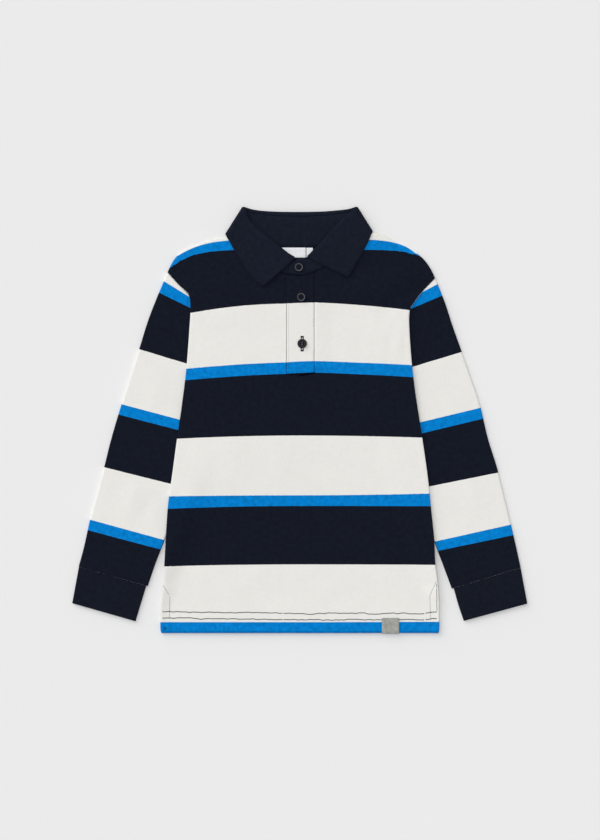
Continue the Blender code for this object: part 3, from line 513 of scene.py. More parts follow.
NECKLINE = {
    Panel.FRONT: (
        (-72.0, 221.2), (-64.8, 211.2), (-57.6, 202.4), (-40.8, 188.4), (-18.0, 174.8),
        (0.0, 172.8), (21.6, 178.8), (38.4, 189.6), (54.0, 201.6), (64.8, 211.2), (73.2, 221.0),
    ),
    Panel.BACK: (
        (-72.0, 221.2), (-67.2, 217.4), (-54.0, 210.4), (-30.0, 204.8), (0.0, 203.4),
        (30.0, 205.2), (54.0, 210.6), (68.4, 217.4), (73.2, 221.0),
    ),
}
ARMHOLE_SEAM = {
    Side.LEFT: (
        (-159.4, 176.5), (-153.1, 169.7), (-146.9, 162.9), (-139.4, 155.7), (-133.2, 148.5),
        (-125.8, 139.3), (-118.5, 130.0), (-111.2, 120.0), (-104.0, 110.0),
    ),
    Side.RIGHT: (
        (162.2, 169.5), (154.0, 161.3), (146.15, 153.1), (136.3, 140.3), (132.35, 134.0),
        (125.0, 123.4), (118.0, 115.0), (111.0, 107.0), (104.0, 99.0),
    ),
}


class SleeveRow(NamedTuple):
    """A line across a flattened sleeve, from its outer fold to its inner fold."""

    name: str
    outer_x: float
    outer_y: float
    inner_x: float
    inner_y: float


SLEEVE = {
    Side.LEFT: (
        SleeveRow("armhole", -159.4, 176.5, -104.0, 110.0),
        SleeveRow("cap", -165.0, 162.6, -102.0, 97.0),
        SleeveRow("underarm", -172.8, 144.0, -99.0, 83.0),
        SleeveRow("upper_arm", -182.4, 118.8, -97.0, 66.0),
        SleeveRow("above_elbow", -193.2, 84.0, -98.0, 47.0),
        SleeveRow("elbow", -203.4, 52.2, -102.6, 22.5),
        SleeveRow("below_elbow", -213.6, 20.4, -113.8, -8.5),
        SleeveRow("forearm", -226.8, -24.0, -129.4, -52.2),
        SleeveRow("lower_forearm", -235.2, -57.6, -141.2, -84.8),
        SleeveRow("above_wrist", -243.6, -88.8, -152.2, -115.3),
        SleeveRow("wrist", -252.0, -120.0, -163.1, -145.8),
        SleeveRow("near_cuff", -258.6, -150.0, -173.6, -172.8),
        SleeveRow("cuff_seam", -265.4, -175.8, -182.6, -199.2),
    ),
    Side.RIGHT: (
        SleeveRow("armhole", 162.5, 169.5, 104.0, 99.0),
        SleeveRow("cap", 167.4, 157.2, 102.0, 87.0),
        SleeveRow("underarm", 174.0, 140.4, 99.4, 75.0),
        SleeveRow("upper_arm", 181.8, 116.4, 97.4, 60.0),
        SleeveRow("above_elbow", 193.2, 84.0, 98.0, 44.0),
        SleeveRow("elbow", 204.6, 51.6, 101.4, 26.4),
        SleeveRow("below_elbow", 215.6, 19.0, 114.4, -8.0),
        SleeveRow("forearm", 225.2, -21.6, 127.6, -46.9),
        SleeveRow("lower_forearm", 236.4, -57.6, 139.4, -81.8),
        SleeveRow("above_wrist", 245.4, -93.6, 151.1, -116.2),
        SleeveRow("wrist", 253.4, -127.2, 162.2, -149.0),
        SleeveRow("near_cuff", 259.8, -154.8, 173.2, -178.3),
        SleeveRow("cuff_seam", 264.6, -177.0, 182.0, -202.2),
    ),
}
CUFF = {
    Side.LEFT: (
        SleeveRow("seam", -265.2, -176.2, -184.4, -199.1),
        SleeveRow("middle", -269.2, -197.7, -191.0, -220.6),
        SleeveRow("opening", -273.2, -219.6, -197.2, -241.3),
    ),
    Side.RIGHT: (
        SleeveRow("seam", 264.6, -177.4, 184.4, -201.9),
        SleeveRow("middle", 268.6, -198.8, 190.2, -222.7),
        SleeveRow("opening", 272.6, -220.1, 196.4, -240.9),
    ),
}


class StripeDrop(NamedTuple):
    """How far a stripe line has dropped 150 mm to one side, and how late it drops."""

    depth: float
    power: float = 2.0


class StripeLine(NamedTuple):
    """Where one colour ends on the body and the next begins, from the shoulder down.

    Middle is its height at the middle of the front.
    """

    below: str
    middle: float
    left: StripeDrop
    right: StripeDrop


STRIPE_LINES = (
    StripeLine("blue", 216.5, StripeDrop(22.4, 4.9), StripeDrop(30.0, 7.0)),
    StripeLine("navy", 204.0, StripeDrop(17.0, 6.3), StripeDrop(10.5, 9.0)),
    StripeLine("cream", 140.2, StripeDrop(16.0), StripeDrop(11.5)),
    StripeLine("blue", 70.1, StripeDrop(9.8, 1.4), StripeDrop(5.2, 1.75)),
    StripeLine("navy", 56.4, StripeDrop(9.9, 1.35), StripeDrop(6.2, 1.7)),
    StripeLine("cream", -18.6, StripeDrop(4.0), StripeDrop(2.7)),
    StripeLine("blue", -90.2, StripeDrop(0.9), StripeDrop(-2.2)),
    StripeLine("navy", -103.0, StripeDrop(3.2), StripeDrop(0.3)),
    StripeLine("cream", -173.1, StripeDrop(2.0), StripeDrop(0.3)),
    StripeLine("blue", -242.3, StripeDrop(0.0), StripeDrop(-0.4)),
)
STRIPE_LEVELS = [line.middle for line in STRIPE_LINES]
STRIPE_SPAN = 150.0
STRIPE_TILT = 0.55
STRIPE_TILT_REACH = 16.0
STRIPE_TILT_FADE = 60.0
STRIPE_TILT_RAMP = 40.0
STRIPE_LEAST = 0.2
LAST_STRIPE = 60.0


class SleeveStripe(NamedTuple):
    """The same line on a sleeve: its height 200 mm out, and its rise further out."""

    height: float
    rise: float


SLEEVE_SPAN = 200.0
SLEEVE_STRIPES = {
    Side.LEFT: (
        SleeveStripe(189.4, 0.62), SleeveStripe(167.9, 0.49), SleeveStripe(86.8, 0.30),
        SleeveStripe(15.2, 0.265), SleeveStripe(1.9, 0.26), SleeveStripe(-65.3, 0.25),
        SleeveStripe(-133.6, 0.275), SleeveStripe(-146.5, 0.266),
    ),
    Side.RIGHT: (
        SleeveStripe(181.2, 0.52), SleeveStripe(161.5, 0.42), SleeveStripe(83.2, 0.30),
        SleeveStripe(10.7, 0.24), SleeveStripe(-3.2, 0.24), SleeveStripe(-70.6, 0.20),
        SleeveStripe(-137.1, 0.225), SleeveStripe(-149.6, 0.208),
    ),
}


def pattern_level(heights: Sequence[float], y: float) -> float:
    """Stripe level of a height, by where the stripe lines pass.

    Args:
        heights: Height of each stripe line there, from the top down.
        y: The height.

    Returns:
        The level, which equals a line's own level on that line.
    """
    if y >= heights[0]:
        return STRIPE_LEVELS[0] + y - heights[0]
    for index in range(len(heights) - 1):
        if y >= heights[index + 1]:
            share = (y - heights[index + 1]) / (heights[index] - heights[index + 1])
            return blend(STRIPE_LEVELS[index + 1], STRIPE_LEVELS[index], share)
    return STRIPE_LEVELS[len(heights) - 1] + y - heights[-1]


def body_stripe(x: float, y: float) -> float:
    """Stripe level of a place on the body.

    Args:
        x: Place across the chest.
        y: Place up the body.

    Returns:
        The level, by where the ten stripe lines pass at that X.
    """
    tilt = STRIPE_TILT * max(-1.0, min(1.0, x / STRIPE_TILT_REACH))
    tilt *= smooth_step(y / STRIPE_TILT_RAMP)
    tilt *= 1.0 - smooth_step((abs(x) - STRIPE_TILT_REACH) / STRIPE_TILT_FADE)
    heights = []
    for line in STRIPE_LINES:
        drop = line.left if x < 0.0 else line.right
        heights.append(line.middle + tilt - drop.depth * (abs(x) / STRIPE_SPAN) ** drop.power)
    heights[0] = max(heights[0], heights[1] + STRIPE_LEAST)
    return pattern_level(heights, y)


def sleeve_stripe(side: Side, x: float, y: float) -> float:
    """Stripe level of a place on a sleeve."""
    lines = SLEEVE_STRIPES[side]
    heights = [line.height + line.rise * (abs(x) - SLEEVE_SPAN) for line in lines]
    return pattern_level(heights, y)


def attach(piece: bpy.types.Object, node: Optional[str], slot: str) -> bpy.types.Object:
    """Ride a piece on the shirt and hide the solid that it replaces.

    Args:
        piece: The object.
        node: The solid that it replaces, or None.
        slot: Name of its finish slot; not used.

    Returns:
        The same object.
    """
    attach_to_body(piece, "root")
    if node:
        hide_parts(node)
    LOG.info("%s: %d faces", piece.name, len(piece.data.polygons))
    return piece


def make_piece(
    name: str,
    bm: bmesh.types.BMesh,
    finish: bpy.types.Material,
    thickness: float = 0.0,
    sharp: float = 50.0,
) -> bpy.types.Object:
    """Turn a mesh in millimetres into a finished object.

    Args:
        name: The object's name.
        bm: The mesh, which is freed.
        finish: Its material.
        thickness: Cloth thickness to give a single surface, or 0 for a closed mesh.
        sharp: Angle above which an edge stays sharp, in degrees.

    Returns:
        The object, at the origin.
    """
    bmesh.ops.scale(bm, vec=(MILLIMETRE,) * 3, verts=bm.verts)
    mesh = bpy.data.meshes.new(name)
    bm.to_mesh(mesh)
    bm.free()
    mesh.shade_smooth()
    mesh.set_sharp_from_angle(angle=math.radians(sharp))
    mesh.materials.append(finish)
    piece = bpy.data.objects.new(name, mesh)
    bpy.context.scene.collection.objects.link(piece)
    if thickness:
        wall = piece.modifiers.new("wall", "SOLIDIFY")
        wall.thickness = thickness * MILLIMETRE
        wall.offset = 0.0
        wall.use_even_offset = False
        wall.use_rim = True
    return piece


class ClothPoint(NamedTuple):
    """A point of a cloth grid: its place, stripe coordinates and thread coordinates."""

    place: Vector
    stripe: tuple[float, float]
    thread: tuple[float, float]


def cloth_grid(rows: Sequence[Sequence[ClothPoint]]) -> bmesh.types.BMesh:
    """Cloth surface through rows of points, with its two UV maps.

    Args:
        rows: Rows of points, all of one length.

    Returns:
        The mesh, with the UV maps "stripe" and "thread" in metres.
    """
    bm = bmesh.new()
    columns = len(rows[0])
    bmesh.ops.create_grid(bm, x_segments=columns - 1, y_segments=len(rows) - 1, size=0.5)
    points = {}
    for vert in bm.verts:
        over = round((vert.co.x + 0.5) * (columns - 1))
        up = round((vert.co.y + 0.5) * (len(rows) - 1))
        points[vert] = rows[up][over]
    for vert, point in points.items():
        vert.co = point.place
    stripe = bm.loops.layers.uv.new("stripe")
    thread = bm.loops.layers.uv.new("thread")
    for face in bm.faces:
        for loop in face.loops:
            point = points[loop.vert]
            loop[stripe].uv = [value * MILLIMETRE for value in point.stripe]
            loop[thread].uv = [value * MILLIMETRE for value in point.thread]
    return bm


def walled_tube(outer: bmesh.types.BMesh, inner: bmesh.types.BMesh) -> bmesh.types.BMesh:
    """Join the outer and inner skins of a flattened tube, and close the cloth at its ends.

    Args:
        outer: Grid of the outer skin, whose first and last columns meet.
        inner: Grid of the inner skin, which is freed.

    Returns:
        One closed wall, open inside.
    """
    for skin in (outer, inner):
        bmesh.ops.remove_doubles(skin, verts=skin.verts, dist=1e-4)
        bmesh.ops.recalc_face_normals(skin, faces=skin.faces)
    bmesh.ops.reverse_faces(inner, faces=inner.faces)
    spare = bpy.data.meshes.new("inner_skin")
    inner.to_mesh(spare)
    inner.free()
    outer.from_mesh(spare)
    bpy.data.meshes.remove(spare)
    rims = [edge for edge in outer.edges if edge.is_boundary]
    middle = sum((edge.verts[0].co.y for edge in rims)) / len(rims)
    for upper in (True, False):
        rim = [edge for edge in rims if (edge.verts[0].co.y > middle) == upper]
        bmesh.ops.bridge_loops(outer, edges=rim)
    bmesh.ops.recalc_face_normals(outer, faces=outer.faces)
    return outer


class Shader:
    """Small helper that adds and links the nodes of one material."""

    def __init__(self, name: str) -> None:
        """Start a material with an empty node tree but for its surface and output."""
        self.material = bpy.data.materials.new(name)
        self.material.use_nodes = True
        self.tree = self.material.node_tree
        self.surface = self.tree.nodes["Principled BSDF"]

    def node(self, kind: str, **settings: Any) -> bpy.types.Node:
        """Add a node, with its settings."""
        made = self.tree.nodes.new(kind)
        for key, value in settings.items():
            setattr(made, key, value)
        return made

    def link(self, start: Socket, end: Socket) -> None:
        """Join an output socket to an input socket."""
        self.tree.links.new(start, end)

    def feed(self, socket: Socket, value: Value) -> None:
        """Give a socket a number, or join it to another node's output."""
        if isinstance(value, (int, float)):
            socket.default_value = value
        else:
            self.link(value, socket)

    def math(
        self, operation: str, first: Value, second: Value = 0.0, third: Value = 0.0
    ) -> Socket:
        """Result of a sum on numbers or sockets."""
        made = self.node("ShaderNodeMath", operation=operation)
        for socket, value in zip(made.inputs, (first, second, third)):
            self.feed(socket, value)
        return made.outputs[0]

    def uv(self, name: str) -> tuple[Socket, Socket]:
        """The two coordinates of a UV map, in metres."""
        made = self.node("ShaderNodeUVMap", uv_map=name)
        split = self.node("ShaderNodeSeparateXYZ")
        self.link(made.outputs["UV"], split.inputs[0])
        return split.outputs["X"], split.outputs["Y"]

    def joined(self, x: Value, y: Value, z: Value = 0.0) -> Socket:
        """A vector from three numbers or sockets."""
        made = self.node("ShaderNodeCombineXYZ")
        for socket, value in zip(made.inputs, (x, y, z)):
            self.feed(socket, value)
        return made.outputs[0]

    def speckle(
        self, vector: Socket, scale: float, detail: float = 2.0, roughness: float = 0.5
    ) -> Socket:
        """Noise from 0 to 1 at a scale in turns a metre."""
        made = self.node("ShaderNodeTexNoise")
        self.link(vector, made.inputs["Vector"])
        made.inputs["Scale"].default_value = scale
        made.inputs["Detail"].default_value = detail
        made.inputs["Roughness"].default_value = roughness
        return made.outputs["Fac"]

    def bump(self, height: Socket, strength: float, distance: float) -> None:
        """Give the surface its fine relief."""
        made = self.node("ShaderNodeBump")
        made.inputs["Strength"].default_value = strength
        made.inputs["Distance"].default_value = distance
        self.link(height, made.inputs["Height"])
        self.link(made.outputs["Normal"], self.surface.inputs["Normal"])


@dataclass(frozen=True)
class ClothFinish:
    """A plain or striped cloth: colours, weave and surface."""

    name: str
    colour: tuple[float, float, float]
    weave: Weave
    striped: bool = False
    wale: float = 0.85
    course: float = 0.7
    roughness: float = 0.92
    sheen: float = 0.03
    sheen_tint: tuple[float, float, float] = (0.4, 0.55, 0.9)
    relief: float = 0.0001
    # Amplitude of the yarn's random mottling; a quarter of it also darkens the weave's low parts as
    # painted shade
    mottle_and_weave_shade: float = 0.06
    blotch: float = 0.05
    dark_blotch: float = 0.9

    def relief_height(self, shader: Shader, u: Socket, v: Socket) -> Socket:
        """Height pattern of the weave, from its thread coordinates.

        Args:
            shader: The material being made.
            u: Across the cloth, in metres.
            v: Along the cloth, in metres.

        Returns:
            A socket that holds the height, about 0 to 1.
        """
        across = shader.math("MULTIPLY", u, 1.0 / (self.wale * MILLIMETRE))
        along = shader.math("MULTIPLY", v, 1.0 / (self.course * MILLIMETRE))
        if self.weave is Weave.JERSEY:
            lean = shader.math("PINGPONG", across, 0.5)
            phase = shader.math("ADD", along, shader.math("MULTIPLY", lean, 1.1))
            loops = shader.math("SINE", shader.math("MULTIPLY", phase, math.tau))
            rib = shader.math("SINE", shader.math("MULTIPLY", lean, math.tau))
            return shader.math("MULTIPLY_ADD", loops, 0.35, rib)
        if self.weave is Weave.TWILL:
            phase = shader.math("ADD", across, along)
            ridge = shader.math("SINE", shader.math("MULTIPLY", phase, math.tau))
            yarn = shader.math("SINE", shader.math("MULTIPLY", along, math.tau * 2.0))
            return shader.math("MULTIPLY_ADD", yarn, 0.3, ridge)
        warp = shader.math("SINE", shader.math("MULTIPLY", across, math.tau))
        weft = shader.math("SINE", shader.math("MULTIPLY", along, math.tau))
        return shader.math("MULTIPLY", warp, weft)

    def base_colour(self, shader: Shader, vector: Socket) -> Socket:
        """Colour of the yarn before its light and dark flecks.

        Args:
            shader: The material being made.
            vector: Thread coordinates as a vector.

        Returns:
            A colour socket.
        """
        if not self.striped:
            made = shader.node("ShaderNodeRGB")
            made.outputs[0].default_value = (*self.colour, 1.0)
            return made.outputs[0]
        _, level = shader.uv("stripe")
        ragged = shader.math("SUBTRACT", shader.speckle(vector, 900.0, 1.0), 0.5)
        level = shader.math("MULTIPLY_ADD", ragged, 0.9 * MILLIMETRE, level)
        tint = (*YARN["cream"], 1.0)
        for name in ("navy", "blue"):
            mix = shader.node("ShaderNodeMix", data_type="RGBA")
            shader.link(self.band(shader, level, name), mix.inputs["Factor"])
            if isinstance(tint, tuple):
                mix.inputs["A"].default_value = tint
            else:
                shader.link(tint, mix.inputs["A"])
            mix.inputs["B"].default_value = (*YARN[name], 1.0)
            tint = mix.outputs["Result"]
        return tint

    @staticmethod
    def paleness(shader: Shader, colour: Socket) -> Socket:
        """Red share of a colour, which only the cream yarn has."""
        split = shader.node("ShaderNodeSeparateColor")
        shader.link(colour, split.inputs[0])
        return split.outputs["Red"]

    @staticmethod
    def band(shader: Shader, level: Socket, name: str) -> Value:
        """Where one colour's stripes are: 1 inside them and 0 outside.

        Args:
            shader: The material being made.
            level: Socket that holds the stripe level, in metres.
            name: The colour.

        Returns:
            A socket.
        """
        edges = STRIPE_LEVELS + [STRIPE_LEVELS[-1] - LAST_STRIPE]
        total = 0.0
        for line, top, bottom in zip(STRIPE_LINES, edges, edges[1:]):
            if line.below == name:
                middle = 0.5 * (top + bottom) * MILLIMETRE
                half = 0.5 * (top - bottom) * MILLIMETRE
                inside = shader.math("COMPARE", level, middle, half)
                total = shader.math("ADD", inside, total)
        return total

    def build(self) -> bpy.types.Material:
        """Make the material."""
        shader = Shader(self.name)
        u, v = shader.uv("thread")
        vector = shader.joined(u, v)
        colour = self.base_colour(shader, vector)
        height = self.relief_height(shader, u, v)
        slant = shader.joined(
            shader.math("ADD", u, v),
            shader.math("MULTIPLY", shader.math("SUBTRACT", v, u), 0.22),
        )
        marl = shader.speckle(slant, 620.0, 3.0, 0.6)
        patch = shader.speckle(vector, 38.0, 3.0, 0.55)
        blotch = shader.math("SUBTRACT", shader.speckle(vector, 190.0, 2.0, 0.6), 0.5)
        depth = shader.math("MULTIPLY_ADD", marl, 2.0 * self.mottle_and_weave_shade, 1.0 - self.mottle_and_weave_shade)
        # Painted shade of the weave: colour lighter on the raised loops and darker in the low parts,
        # following the relief height
        depth = shader.math("MULTIPLY_ADD", height, 0.25 * self.mottle_and_weave_shade, depth)
        depth = shader.math(
            "MULTIPLY", depth,
            shader.math("MULTIPLY_ADD", patch, self.mottle_and_weave_shade, 1.0 - 0.5 * self.mottle_and_weave_shade),
        )
        pale = shader.math("GREATER_THAN", self.paleness(shader, colour), 0.5)
        spread = shader.math("MULTIPLY_ADD", pale, self.blotch - self.dark_blotch, self.dark_blotch)
        depth = shader.math(
            "MULTIPLY", depth, shader.math("MULTIPLY_ADD", blotch, spread, 1.0)
        )
        mixed = shader.node("ShaderNodeVectorMath", operation="SCALE")
        shader.link(colour, mixed.inputs[0])
        shader.link(depth, mixed.inputs["Scale"])
        shader.link(mixed.outputs["Vector"], shader.surface.inputs["Base Color"])
        fuzz = shader.speckle(vector, 2600.0, 2.0, 0.7)
        relief = shader.math("MULTIPLY_ADD", fuzz, 0.8, height)
        shader.bump(relief, 0.5, self.relief)
        rough = shader.math("MULTIPLY_ADD", marl, 0.06, self.roughness - 0.03)
        shader.link(rough, shader.surface.inputs["Roughness"])
        inputs = shader.surface.inputs
        inputs["Sheen Weight"].default_value = self.sheen
        inputs["Sheen Roughness"].default_value = 0.45
        inputs["Sheen Tint"].default_value = (*self.sheen_tint, 1.0)
        inputs["Specular IOR Level"].default_value = 0.06
        return shader.material


# Yarn colours as linear red, green and blue
YARN = {
    "cream": (0.817, 0.808, 0.773),
    "navy": (0.0066, 0.0088, 0.0170),
    "blue": (0.0005, 0.205, 0.60),
}


@dataclass(frozen=True)
class ThreadFinish:
    """Sewing thread, with its twist."""

    name: str
    colour: tuple[float, float, float]
    roughness: float = 0.7

    def build(self) -> bpy.types.Material:
        """Make the material."""
        shader = Shader(self.name)
        made = shader.node("ShaderNodeTexCoord")
        fleck = shader.speckle(made.outputs["Object"], 1800.0, 2.0)
        depth = shader.math("MULTIPLY_ADD", fleck, 0.5, 0.75)
        tint = shader.node("ShaderNodeRGB")
        tint.outputs[0].default_value = (*self.colour, 1.0)
        mixed = shader.node("ShaderNodeVectorMath", operation="SCALE")
        shader.link(tint.outputs[0], mixed.inputs[0])
        shader.link(depth, mixed.inputs["Scale"])
        shader.link(mixed.outputs["Vector"], shader.surface.inputs["Base Color"])
        shader.bump(fleck, 0.4, 0.0001)
        shader.surface.inputs["Roughness"].default_value = self.roughness
        shader.surface.inputs["Specular IOR Level"].default_value = 0.12
        return shader.material


@dataclass(frozen=True)
class ButtonFinish:
    """Moulded button: dark dished middle, paler turned rim, fine marbling."""

    name: str
    centre: tuple[float, float]
    middle: tuple[float, float, float]
    rim: tuple[float, float, float]
    rim_radius: float = 4.2
    rim_width: float = 0.8

    def build(self) -> bpy.types.Material:
        """Make the material."""
        shader = Shader(self.name)
        coords = shader.node("ShaderNodeTexCoord")
        place = shader.node("ShaderNodeVectorMath", operation="SUBTRACT")
        shader.link(coords.outputs["Object"], place.inputs[0])
        place.inputs[1].default_value = [value * MILLIMETRE for value in (*self.centre, 0.0)]
        split = shader.node("ShaderNodeSeparateXYZ")
        shader.link(place.outputs["Vector"], split.inputs[0])
        flat = shader.joined(split.outputs["X"], split.outputs["Y"])
        length = shader.node("ShaderNodeVectorMath", operation="LENGTH")
        shader.link(flat, length.inputs[0])
        off = shader.math("SUBTRACT", length.outputs["Value"], self.rim_radius * MILLIMETRE)
        off = shader.math("ABSOLUTE", off)
        near = shader.math("DIVIDE", off, self.rim_width * MILLIMETRE)
        near = shader.math("SUBTRACT", 1.0, near)
        near = shader.math("MAXIMUM", near, 0.0)
        vein = shader.speckle(coords.outputs["Object"], 420.0, 4.0, 0.65)
        share = shader.math("MULTIPLY", near, shader.math("MULTIPLY_ADD", vein, 1.5, 0.2))
        mix = shader.node("ShaderNodeMix", data_type="RGBA")
        shader.link(share, mix.inputs["Factor"])
        mix.inputs["A"].default_value = (*self.middle, 1.0)
        mix.inputs["B"].default_value = (*self.rim, 1.0)
        shader.link(mix.outputs["Result"], shader.surface.inputs["Base Color"])
        rough = shader.math("MULTIPLY_ADD", vein, 0.15, 0.4)
        shader.link(rough, shader.surface.inputs["Roughness"])
        shader.bump(vein, 0.15, 0.0002)
        shader.surface.inputs["Specular IOR Level"].default_value = 0.05
        return shader.material


@dataclass
class Wardrobe:
    """Every finish of the shirt, each made once."""

    def __post_init__(self) -> None:
        """Make the materials."""
        self.striped = ClothFinish("striped_jersey_knit", YARN["cream"], Weave.JERSEY, True).build()
        self.cuff = ClothFinish(
            "navy_cuff_knit", (0.0072, 0.0094, 0.0172), Weave.JERSEY, wale=1.1, course=0.8
        ).build()
        self.twill = ClothFinish(
            "navy_collar_twill", (0.0085, 0.0115, 0.0215), Weave.TWILL, wale=0.9, course=0.9,
            sheen=0.03, roughness=0.88,
        ).build()
        self.satin = ClothFinish(
            "white_label_satin", (0.82, 0.83, 0.86), Weave.SATIN, wale=0.25, course=0.9,
            sheen=0.0, roughness=0.5, mottle_and_weave_shade=0.03, relief=0.00006,
        ).build()
        self.tape = ClothFinish(
            "grey_hem_tape", (0.37, 0.37, 0.34), Weave.TAPE, wale=0.5, course=0.6,
            roughness=0.8, mottle_and_weave_shade=0.1, relief=0.00012,
        ).build()
        self.navy_thread = ThreadFinish("navy_thread", (0.007, 0.009, 0.018)).build()


@dataclass
class BodyPanel:
    """Front or back panel of the body, as a thin shell on its solid's form."""

    form: ShirtForm
    panel: Panel
    across_steps: int = 46
    rows_below_slit: int = 84
    rows_beside_slit: int = 38

    def fold_steps(self) -> list[tuple[float, float]]:
        """Distances in from a folded edge, and how far open the fold is there."""
        steps = []
        for angle in FOLD_ANGLES:
            turn = math.radians(angle)
            steps.append((FOLD_REACH * (1.0 - math.cos(turn)), math.sin(turn)))
        return steps

    def across(
        self, left: float, right: float, spreads: tuple[float, float]
    ) -> list[tuple[float, float]]:
        """Columns of one row.

        Args:
            left: X of the left edge.
            right: X of the right edge.
            spreads: How many times wider each side's fold is laid out.

        Returns:
            X of each column, and how open its side fold is.
        """
        steps = self.fold_steps()
        shares = [index / self.across_steps for index in range(self.across_steps + 1)]
        left_spread, right_spread = spreads
        columns = [(left + reach * left_spread, opened) for reach, opened in steps]
        for share in shares:
            columns.append((blend(left + FOLD_REACH * left_spread, SLIT_X[0], share), 1.0))
        columns.append((SLIT_X[1], 1.0))
        for share in reversed(shares):
            columns.append((blend(right - FOLD_REACH * right_spread, SLIT_X[2], share), 1.0))
        columns += [(right - reach * right_spread, opened) for reach, opened in reversed(steps)]
        return columns

    def shoulder_slope(self, x: float) -> float:
        """How much further down a sloping shoulder its fold reaches, along Y."""
        rise = self.form.top_y(self.panel, x + 0.5) - self.form.top_y(self.panel, x - 0.5)
        return min(math.hypot(1.0, rise), 2.6)

    def row(self, up: float, drop: float, top_open: float) -> list[tuple[float, float, float]]:
        """Points of one row, as X, Y and how open the folds are there.

        Args:
            up: Share of the way from the hem to the top.
            drop: How far below the top edge the row's end lies.
            top_open: How open the shoulder fold is at this row.

        Returns:
            The row from left to right.
        """
        form = self.form
        tips = {side: form.side_edge_x(side, form.tip_y[side]) for side in Side}
        edges, past, spreads = {}, {}, {}
        for side in Side:
            reach = drop * self.shoulder_slope(tips[side])
            edges[side] = blend(HEM_Y, form.tip_y[side] - reach, up)
            past[side] = smooth_step((edges[side] - form.armhole_end_y[side]) / ARMHOLE_OPENING)
            spreads[side] = blend(1.0, ARMHOLE_SPREAD, past[side])
        columns = self.across(
            form.side_edge_x(Side.LEFT, edges[Side.LEFT]),
            form.side_edge_x(Side.RIGHT, edges[Side.RIGHT]),
            (spreads[Side.LEFT], spreads[Side.RIGHT]),
        )
        tip_columns = self.across(
            tips[Side.LEFT], tips[Side.RIGHT], (ARMHOLE_SPREAD, ARMHOLE_SPREAD)
        )
        row = []
        for (x, side_open), (tip_x, _) in zip(columns, tip_columns):
            on_neckline = NECK_POINT_X[0] + 1.5 < tip_x < NECK_POINT_X[1] - 1.5
            reach = drop if on_neckline else drop * self.shoulder_slope(tip_x)
            y = blend(HEM_Y, form.top_y(self.panel, tip_x) - reach, up)
            side = Side.LEFT if x < 0.0 else Side.RIGHT
            opened = blend(side_open, 1.0, past[side])
            if not on_neckline:
                near_tip = 1.0 - smooth_step(abs(tip_x - tips[side]) / ARMHOLE_OPENING)
                opened = min(opened, blend(top_open, 1.0, near_tip))
            row.append((x, y, opened))
        return row

    def rows(self) -> list[list[ClothPoint]]:
        """All rows of the panel, with heights and cloth coordinates."""
        ups = [SLIT_END_SHARE * i / self.rows_below_slit for i in range(self.rows_below_slit)]
        for index in range(self.rows_beside_slit + 1):
            ups.append(blend(SLIT_END_SHARE, 1.0, index / self.rows_beside_slit))
        lines = [self.row(up, FOLD_REACH, 1.0) for up in ups]
        lines += [self.row(1.0, reach, opened) for reach, opened in reversed(self.fold_steps())]
        front = self.panel is Panel.FRONT
        level = self.form.front_level if front else self.form.back_level
        rows = []
        for line in lines:
            points = []
            for x, y, opened in line:
                place = Vector((x, y, level(x, y, opened)))
                points.append(ClothPoint(place, (x, body_stripe(x, y)), (x, y)))
            rows.append(points)
        return rows

    def build(self, wardrobe: Wardrobe) -> bpy.types.Object:
        """Make the panel and dress it."""
        bm = cloth_grid(self.rows())
        if self.panel is Panel.FRONT:
            end_y = self.form.slit_end_y()
            slit = []
            for face in bm.faces:
                middle = face.calc_center_median()
                if SLIT_X[0] < middle.x < SLIT_X[2] and middle.y > end_y - FOLD_REACH:
                    slit.append(face)
            bmesh.ops.delete(bm, geom=slit, context="FACES")
        name = self.panel.value
        piece = make_piece(f"{name}_panel", bm, wardrobe.striped, JERSEY)
        attach(piece, name, "striped_jersey")
        return piece


